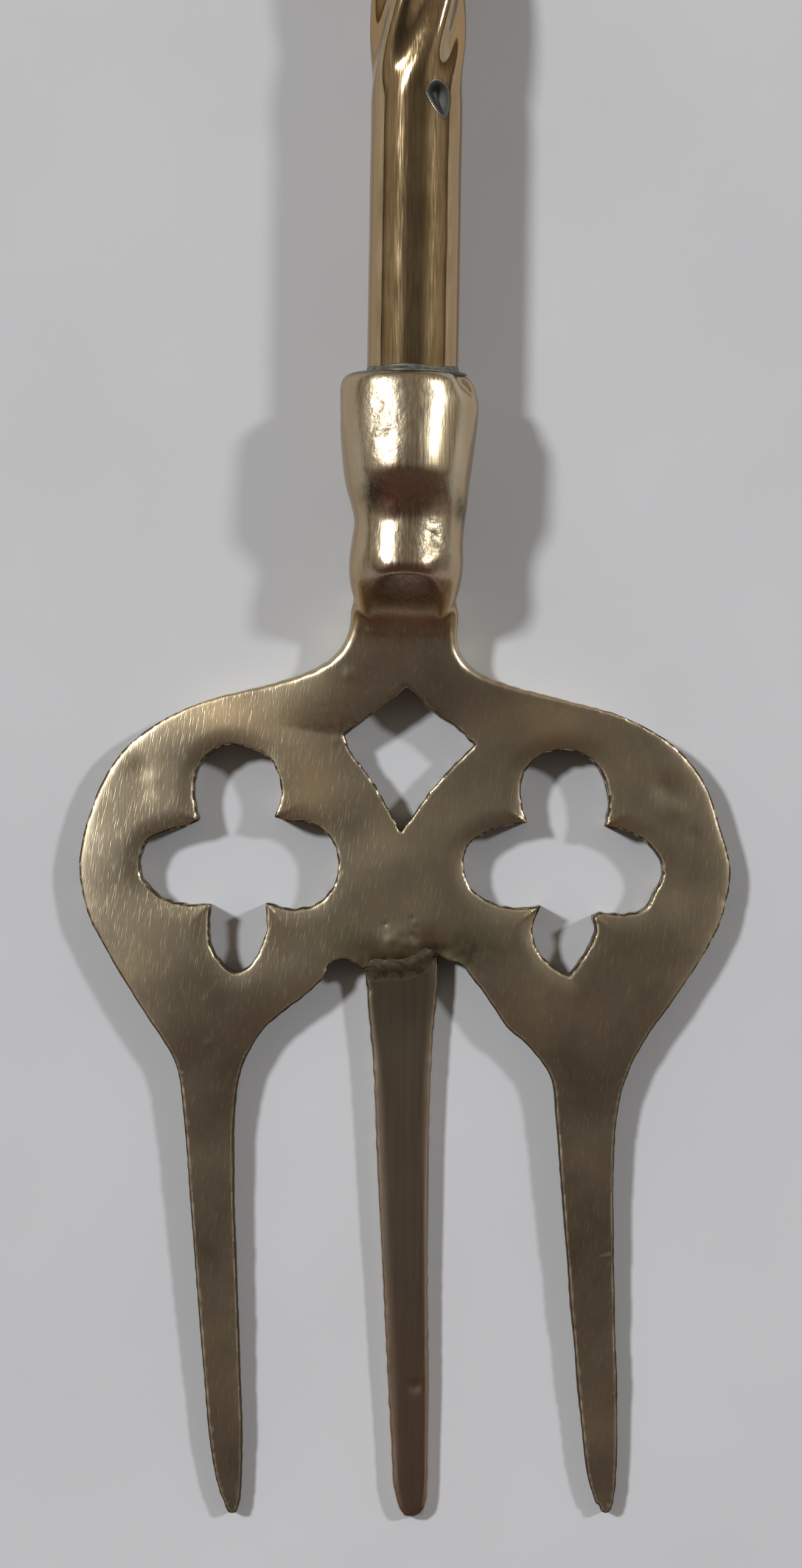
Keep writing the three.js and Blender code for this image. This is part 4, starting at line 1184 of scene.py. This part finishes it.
def cast_brass():
    """Sand-cast brass, dressed on a belt, toned and handled."""
    material, tree = start_finish("cast_brass_linished_and_toned")
    mask = {
        name: add_node(tree, "ShaderNodeAttribute", attribute_name=name).outputs["Fac"]
        for name in HEAD_MASKS
    }
    tone = patches_of(tree, (TONE_SIZE,) * 3, 5.0)
    fleck = patches_of(tree, (FLECK_SIZE,) * 3, 3.0)
    lines = patches_of(tree, (LINE_WIDTH, LINE_LENGTH, LINE_WIDTH), 2.0)
    hairs = patches_of(tree, (SCRATCH_WIDTH, SCRATCH_LENGTH, SCRATCH_WIDTH), 1.0, SCRATCH_LEAN)
    # Scratches are bare metal painted brighter as glints, strongest on the linished lobe where the lamps
    # catch them
    lightly = add_node(tree, "ShaderNodeMapRange", {"Value": mask["linished"], "To Min": 0.45})
    scratch = add_node(tree, "ShaderNodeMapRange", {
        "Value": hairs, "From Min": 0.58, "From Max": 0.76, "To Max": lightly.outputs[0],
    }).outputs[0]
    # Dirt and painted shade sit in flecks, and wear has broken the dark edges, tarnish with painted
    # shade, except along the tines
    flecked = add_node(tree, "ShaderNodeMath", {0: mask["grime_and_painted_shade"], 1: fleck}, operation="MULTIPLY")
    dirt_and_shade = add_node(tree, "ShaderNodeMapRange", {
        "Value": flecked.outputs[0], "From Min": 0.05, "From Max": 0.6,
    }).outputs[0]
    dark_edge = add_node(tree, "ShaderNodeMapRange", {
        "Value": fleck, "From Min": 0.62, "From Max": 0.5,
        "To Min": mask["tine_edge"], "To Max": mask["edge"],
    }).outputs[0]
    skin = add_node(tree, "ShaderNodeValToRGB", {"Fac": tone}, stops=GOLD_TONES).outputs[0]
    # Rubbed is wear with painted sheen, the red tint painted reflection, green a patina, the scratches
    # bare metal with painted glints, side a painted reflection of the table, and the dark edges and dirt
    # are tarnish and grime with painted shade
    layers = [
        (mask["rubbed_and_painted_sheen"], "#f4dcb0"), (mask["red_tint"], "#c99a88"), (mask["greened"], "#aaa980"),
        (scratch, "#f0e2bd"), (mask["side"], "#b8a07f"), (dark_edge, "#4f4434"), (dirt_and_shade, "#4a4936"),
    ]
    for layer, tint in layers:
        skin = add_node(tree, "ShaderNodeMix", {
            "Factor": layer, COLOUR_A: skin, COLOUR_B: colour(tint),
        }, data_type="RGBA").outputs[MIXED]
    rough = add_node(tree, "ShaderNodeMapRange", {
        "Value": tone, "From Min": 0.3, "From Max": 0.7, "To Min": 0.27, "To Max": 0.3,
    }).outputs[0]
    brushed = add_node(tree, "ShaderNodeMapRange", {
        "Value": lines, "From Min": 0.3, "From Max": 0.7, "To Min": 0.16, "To Max": 0.3,
    }).outputs[0]
    levels = [
        (mask["linished"], 0.33), (mask["polish"], brushed), (mask["pitted"], 0.42), (dark_edge, 0.65),
    ]
    for layer, level in levels:
        rough = add_node(tree, "ShaderNodeMapRange", {
            "Value": layer, "To Min": rough, "To Max": level,
        }).outputs[0]
    line_depth = add_node(tree, "ShaderNodeMapRange", {
        "Value": mask["linished"], "To Min": LINE_DEPTH * MM, "To Max": FRESH_LINE_DEPTH * MM,
    })
    belt_depth = add_node(tree, "ShaderNodeMapRange", {
        "Value": mask["polish"], "To Min": line_depth.outputs[0], "To Max": POLISHED_LINE_DEPTH * MM,
    })
    pit_depth = add_node(tree, "ShaderNodeMapRange", {
        "Value": mask["pitted"], "To Min": 0.0, "To Max": PIT_DEPTH * MM,
    })
    lined = add_node(tree, "ShaderNodeBump", {"Height": lines, "Distance": belt_depth.outputs[0]})
    scored = add_node(tree, "ShaderNodeBump", {
        "Height": scratch, "Distance": SCRATCH_DEPTH * MM, "Normal": lined.outputs["Normal"],
    }, invert=True)
    pitted = add_node(tree, "ShaderNodeBump", {
        "Height": fleck, "Distance": pit_depth.outputs[0], "Normal": scored.outputs["Normal"],
    })
    close_finish(tree, {
        "Base Color": skin, "Metallic": 1.0, "Roughness": rough, "Normal": pitted.outputs["Normal"],
    })
    return material


cast_brass_finish = cast_brass()
dress(fork_head, cast_brass_finish)
dress(handle_cap, cast_brass_finish)

# %% [markdown]
# ## Forged and drawn brass
#
# The centre tine was forged, so it is redder and duller, with heat colours left in it. Tube and
# ring wire were drawn through a die, which leaves streaks along their length. The real streaks
# are a few hundredths of a millimetre wide and are drawn coarser so that they show. One function
# makes a streaked brass from its tones, its roughness and the size of its streaks.

# %% Streaked brass for tine, stem and ring
STREAK_TONE_SIZE = 6.0
GRIME_AND_SHADE_DULL_FROM = 0.6
# Red is heat colour on the tine and a tint on the stem's right flank, toned a patina at the tine's root,
# side a painted reflection of the table on the stem's flanks, and grime verdigris with painted shade in
# the teardrop
STREAK_TINTS = {"red_tint": "#ae8c7a", "toned": "#7f7a62", "side": "#b29369", "grime_and_painted_shade": "#464844"}


def streaked_brass(name, tones, rough, uneven, streak, depth):
    """Brass with streaks along the fork, and with the tints that its masks ask for."""
    material, tree = start_finish(name)
    streaks = patches_of(tree, (streak[0], streak[1], streak[0]), 3.0)
    tone = patches_of(tree, (STREAK_TONE_SIZE,) * 3, 4.0)
    both = add_node(tree, "ShaderNodeMath", {0: streaks, 1: tone}, operation="ADD")
    share = add_node(tree, "ShaderNodeMapRange", {
        "Value": both.outputs[0], "From Min": 0.8, "From Max": 1.2,
    })
    skin = add_node(tree, "ShaderNodeValToRGB", {"Fac": share.outputs[0]},
                    stops=[(0.0, tones[0]), (1.0, tones[1])]).outputs[0]
    mask = {
        layer: add_node(tree, "ShaderNodeAttribute", attribute_name=layer).outputs["Fac"]
        for layer in STREAK_TINTS
    }
    for layer, tint in STREAK_TINTS.items():
        skin = add_node(tree, "ShaderNodeMix", {
            "Factor": mask[layer], COLOUR_A: skin, COLOUR_B: colour(tint),
        }, data_type="RGBA").outputs[MIXED]
    sheen = add_node(tree, "ShaderNodeMapRange", {
        "Value": streaks, "From Min": 0.3, "From Max": 0.7,
        "To Min": rough - uneven, "To Max": rough + uneven,
    })
    # Where the grime and painted shade mask is thin the polish stays, where it is thick it is dull
    dull = add_node(tree, "ShaderNodeMapRange", {
        "Value": mask["grime_and_painted_shade"], "From Min": GRIME_AND_SHADE_DULL_FROM, "To Min": sheen.outputs[0], "To Max": 0.6,
    })
    bare = add_node(tree, "ShaderNodeMapRange", {
        "Value": mask["grime_and_painted_shade"], "From Min": GRIME_AND_SHADE_DULL_FROM, "To Min": 1.0, "To Max": 0.7,
    })
    drawn = add_node(tree, "ShaderNodeBump", {"Height": streaks, "Distance": depth * MM})
    close_finish(tree, {
        "Base Color": skin, "Metallic": bare.outputs[0], "Roughness": dull.outputs[0],
        "Normal": drawn.outputs["Normal"],
    })
    return material


# Forged and filed: satin, with hardly a streak
dress(centre_tine, streaked_brass(
    "forged_brass_filed", ("#a09280", "#a89b88"), 0.28, 0.005, (0.5, 12.0), 0.00002))
# Drawn and polished tube: near a mirror, with thin broken highlights
dress(stem_tube, streaked_brass(
    "drawn_brass_tube", ("#9f8b68", "#bea985"), 0.1, 0.04, (0.16, 4.0), 0.0016))
# Drawn wire: rubbed lighter by hands and hook, with a softer shine than the tube
dress(hanging_ring, streaked_brass(
    "drawn_brass_wire", ("#a98e62", "#c9ab7c"), 0.2, 0.03, (0.4, 3.0), 0.001))

# %% [markdown]
# ## Braze and solder
#
# Both are dull fillers that were never polished. The eye gets patches of bare grey-brown metal
# between patches of crust: flux on the braze, and grey-green verdigris on the solder. A noise
# about a millimetre across decides which is which, and the crust is hardly metallic.

# %% Fillers
CRUST_SIZE = 0.8
CRUST_FROM, CRUST_TO = 0.4, 0.62
CRUST_HEIGHT = 0.08


def filler(name, metal, crust, rough):
    """A dull filler metal with patches of crust."""
    material, tree = start_finish(name)
    crusted = patches_of(tree, (CRUST_SIZE,) * 3, 4.0)
    skin = add_node(tree, "ShaderNodeValToRGB", {"Fac": crusted},
                    stops=[(CRUST_FROM, metal), (CRUST_TO, crust)])
    bare = add_node(tree, "ShaderNodeMapRange", {
        "Value": crusted, "From Min": CRUST_FROM, "From Max": CRUST_TO, "To Min": 0.9, "To Max": 0.1,
    })
    lumpy = add_node(tree, "ShaderNodeBump", {"Height": crusted, "Distance": CRUST_HEIGHT * MM})
    close_finish(tree, {
        "Base Color": skin.outputs[0], "Metallic": bare.outputs[0], "Roughness": rough,
        "Normal": lumpy.outputs["Normal"],
    })
    return material


solder_finish = filler("soft_solder_with_verdigris", "#66645a", "#56645c", 0.5)
dress(socket_solder, solder_finish)
dress(cap_solder, solder_finish)
dress(tine_braze, filler("braze_with_flux_crust", "#6b634a", "#423d2e", 0.36))

# %% [markdown]
# ## The table
#
# The table is a plain pale sheet, matt and a little mottled, large enough to run past the picture
# from any side. It lies a hair below the fork's back, so the two don't share a plane.

# %% Table
# The sheet and its gap are in metres, the mottle in millimetres
FLOOR_SIZE = 30.0
FLOOR_GAP = 0.05 * MM
MOTTLE_SIZE = 30.0
half = FLOOR_SIZE / 2
floor_corners = [(-half, -half), (half, -half), (half, half), (-half, half)]
floor_mesh = bpy.data.meshes.new("table_top")
floor_mesh.from_pydata([(x, y, -FLOOR_GAP) for x, y in floor_corners], [], [(0, 1, 2, 3)])
floor = bpy.data.objects.new("table_top", floor_mesh)
bpy.context.scene.collection.objects.link(floor)


def table_paint():
    """Matt pale paint, with a faint mottle."""
    material, tree = start_finish("matt_pale_table")
    mottle = patches_of(tree, (MOTTLE_SIZE,) * 3, 3.0)
    pale = add_node(tree, "ShaderNodeValToRGB", {"Fac": mottle},
                    stops=[(0.3, "#b5b8bb"), (0.7, "#b9bcbf")])
    close_finish(tree, {"Base Color": pale.outputs[0], "Roughness": 0.7})
    return material


dress(floor, table_paint())

# %% [markdown]
# ## Lamps and surroundings
#
# Two lamps throw parallel light from left and right of the head, the left one stronger, and give
# the two soft-edged shadows. The room around is dim and warm: brass is a mirror for it, so a dark
# ceiling gives the plate its depth, and lighter walls give the socket's flanks their gold.

# %% Lamps
LAMPS = [
    ("left_lamp", (-1.737, 0.907, 2.067), 6.6, 2.43),
    ("right_lamp", (2.007, 0.937, 1.806), 5.4, 1.42),
]
LAMP_TINT = "#fdfdff"
for name, towards, width_degrees, strength in LAMPS:
    lamp = bpy.data.lights.new(name, "SUN")
    lamp.angle = math.radians(width_degrees)
    lamp.energy = strength
    lamp.color = colour(LAMP_TINT)[:3]
    holder = bpy.data.objects.new(name, lamp)
    holder.location = towards
    holder.rotation_euler = (-Vector(towards)).to_track_quat("-Z", "Y").to_euler()
    bpy.context.scene.collection.objects.link(holder)
    height = math.degrees(math.atan2(towards[2], math.hypot(towards[0], towards[1])))
    print(f"{name}: {height:.0f} degrees above the table, strength {strength}")

# %% Room
CEILING = [
    (0.0, "#5c4b44"), (1.0, "#948a7d"), (0.35, "#4e3f39"), (0.45, "#48423e"), (0.5, "#524e4a"),
    (0.575, "#645f5a"), (0.75, "#8a8074"),
]
LIT_WALL = "#a0968a"
HORIZON = "#574a40"

world = bpy.data.worlds.new("dim_warm_room")
bpy.context.scene.world = world
world.use_nodes = True
room = world.node_tree
room.nodes.clear()
direction = add_node(room, "ShaderNodeTexCoord").outputs["Generated"]
toward = add_node(room, "ShaderNodeSeparateXYZ", {"Vector": direction}).outputs
sideways = add_node(room, "ShaderNodeMath", {0: toward["X"], 1: toward["X"]}, operation="MULTIPLY")
lengthways = add_node(room, "ShaderNodeMapRange", {
    "Value": toward["Y"], "From Min": -1.0, "From Max": 1.0,
})
ceiling = add_node(room, "ShaderNodeValToRGB", {"Fac": lengthways.outputs[0]}, stops=CEILING)
to_wall = add_node(room, "ShaderNodeMapRange", {
    "Value": sideways.outputs[0], "From Min": 0.08, "From Max": 0.4,
})
lit_end = add_node(room, "ShaderNodeMapRange", {"Value": toward["Y"], "From Min": -0.6, "From Max": -0.1})
lit_wall = add_node(room, "ShaderNodeMath", {0: to_wall.outputs[0], 1: lit_end.outputs[0]},
                    operation="MULTIPLY")
walls = add_node(room, "ShaderNodeMix", {
    "Factor": lit_wall.outputs[0], COLOUR_A: ceiling.outputs[0], COLOUR_B: colour(LIT_WALL),
}, data_type="RGBA")
raised = add_node(room, "ShaderNodeMapRange", {"Value": toward["Z"], "From Min": 0.02, "From Max": 0.28})
above = add_node(room, "ShaderNodeMix", {
    "Factor": raised.outputs[0], COLOUR_A: colour(HORIZON), COLOUR_B: walls.outputs[MIXED],
}, data_type="RGBA")
sky = add_node(room, "ShaderNodeBackground", {"Color": above.outputs[MIXED], "Strength": 1.0})
add_node(room, "ShaderNodeOutputWorld", {"Surface": sky.outputs[0]})
bpy.context.scene.view_settings.view_transform = "Standard"
print(f"room: {len(room.nodes)} nodes")
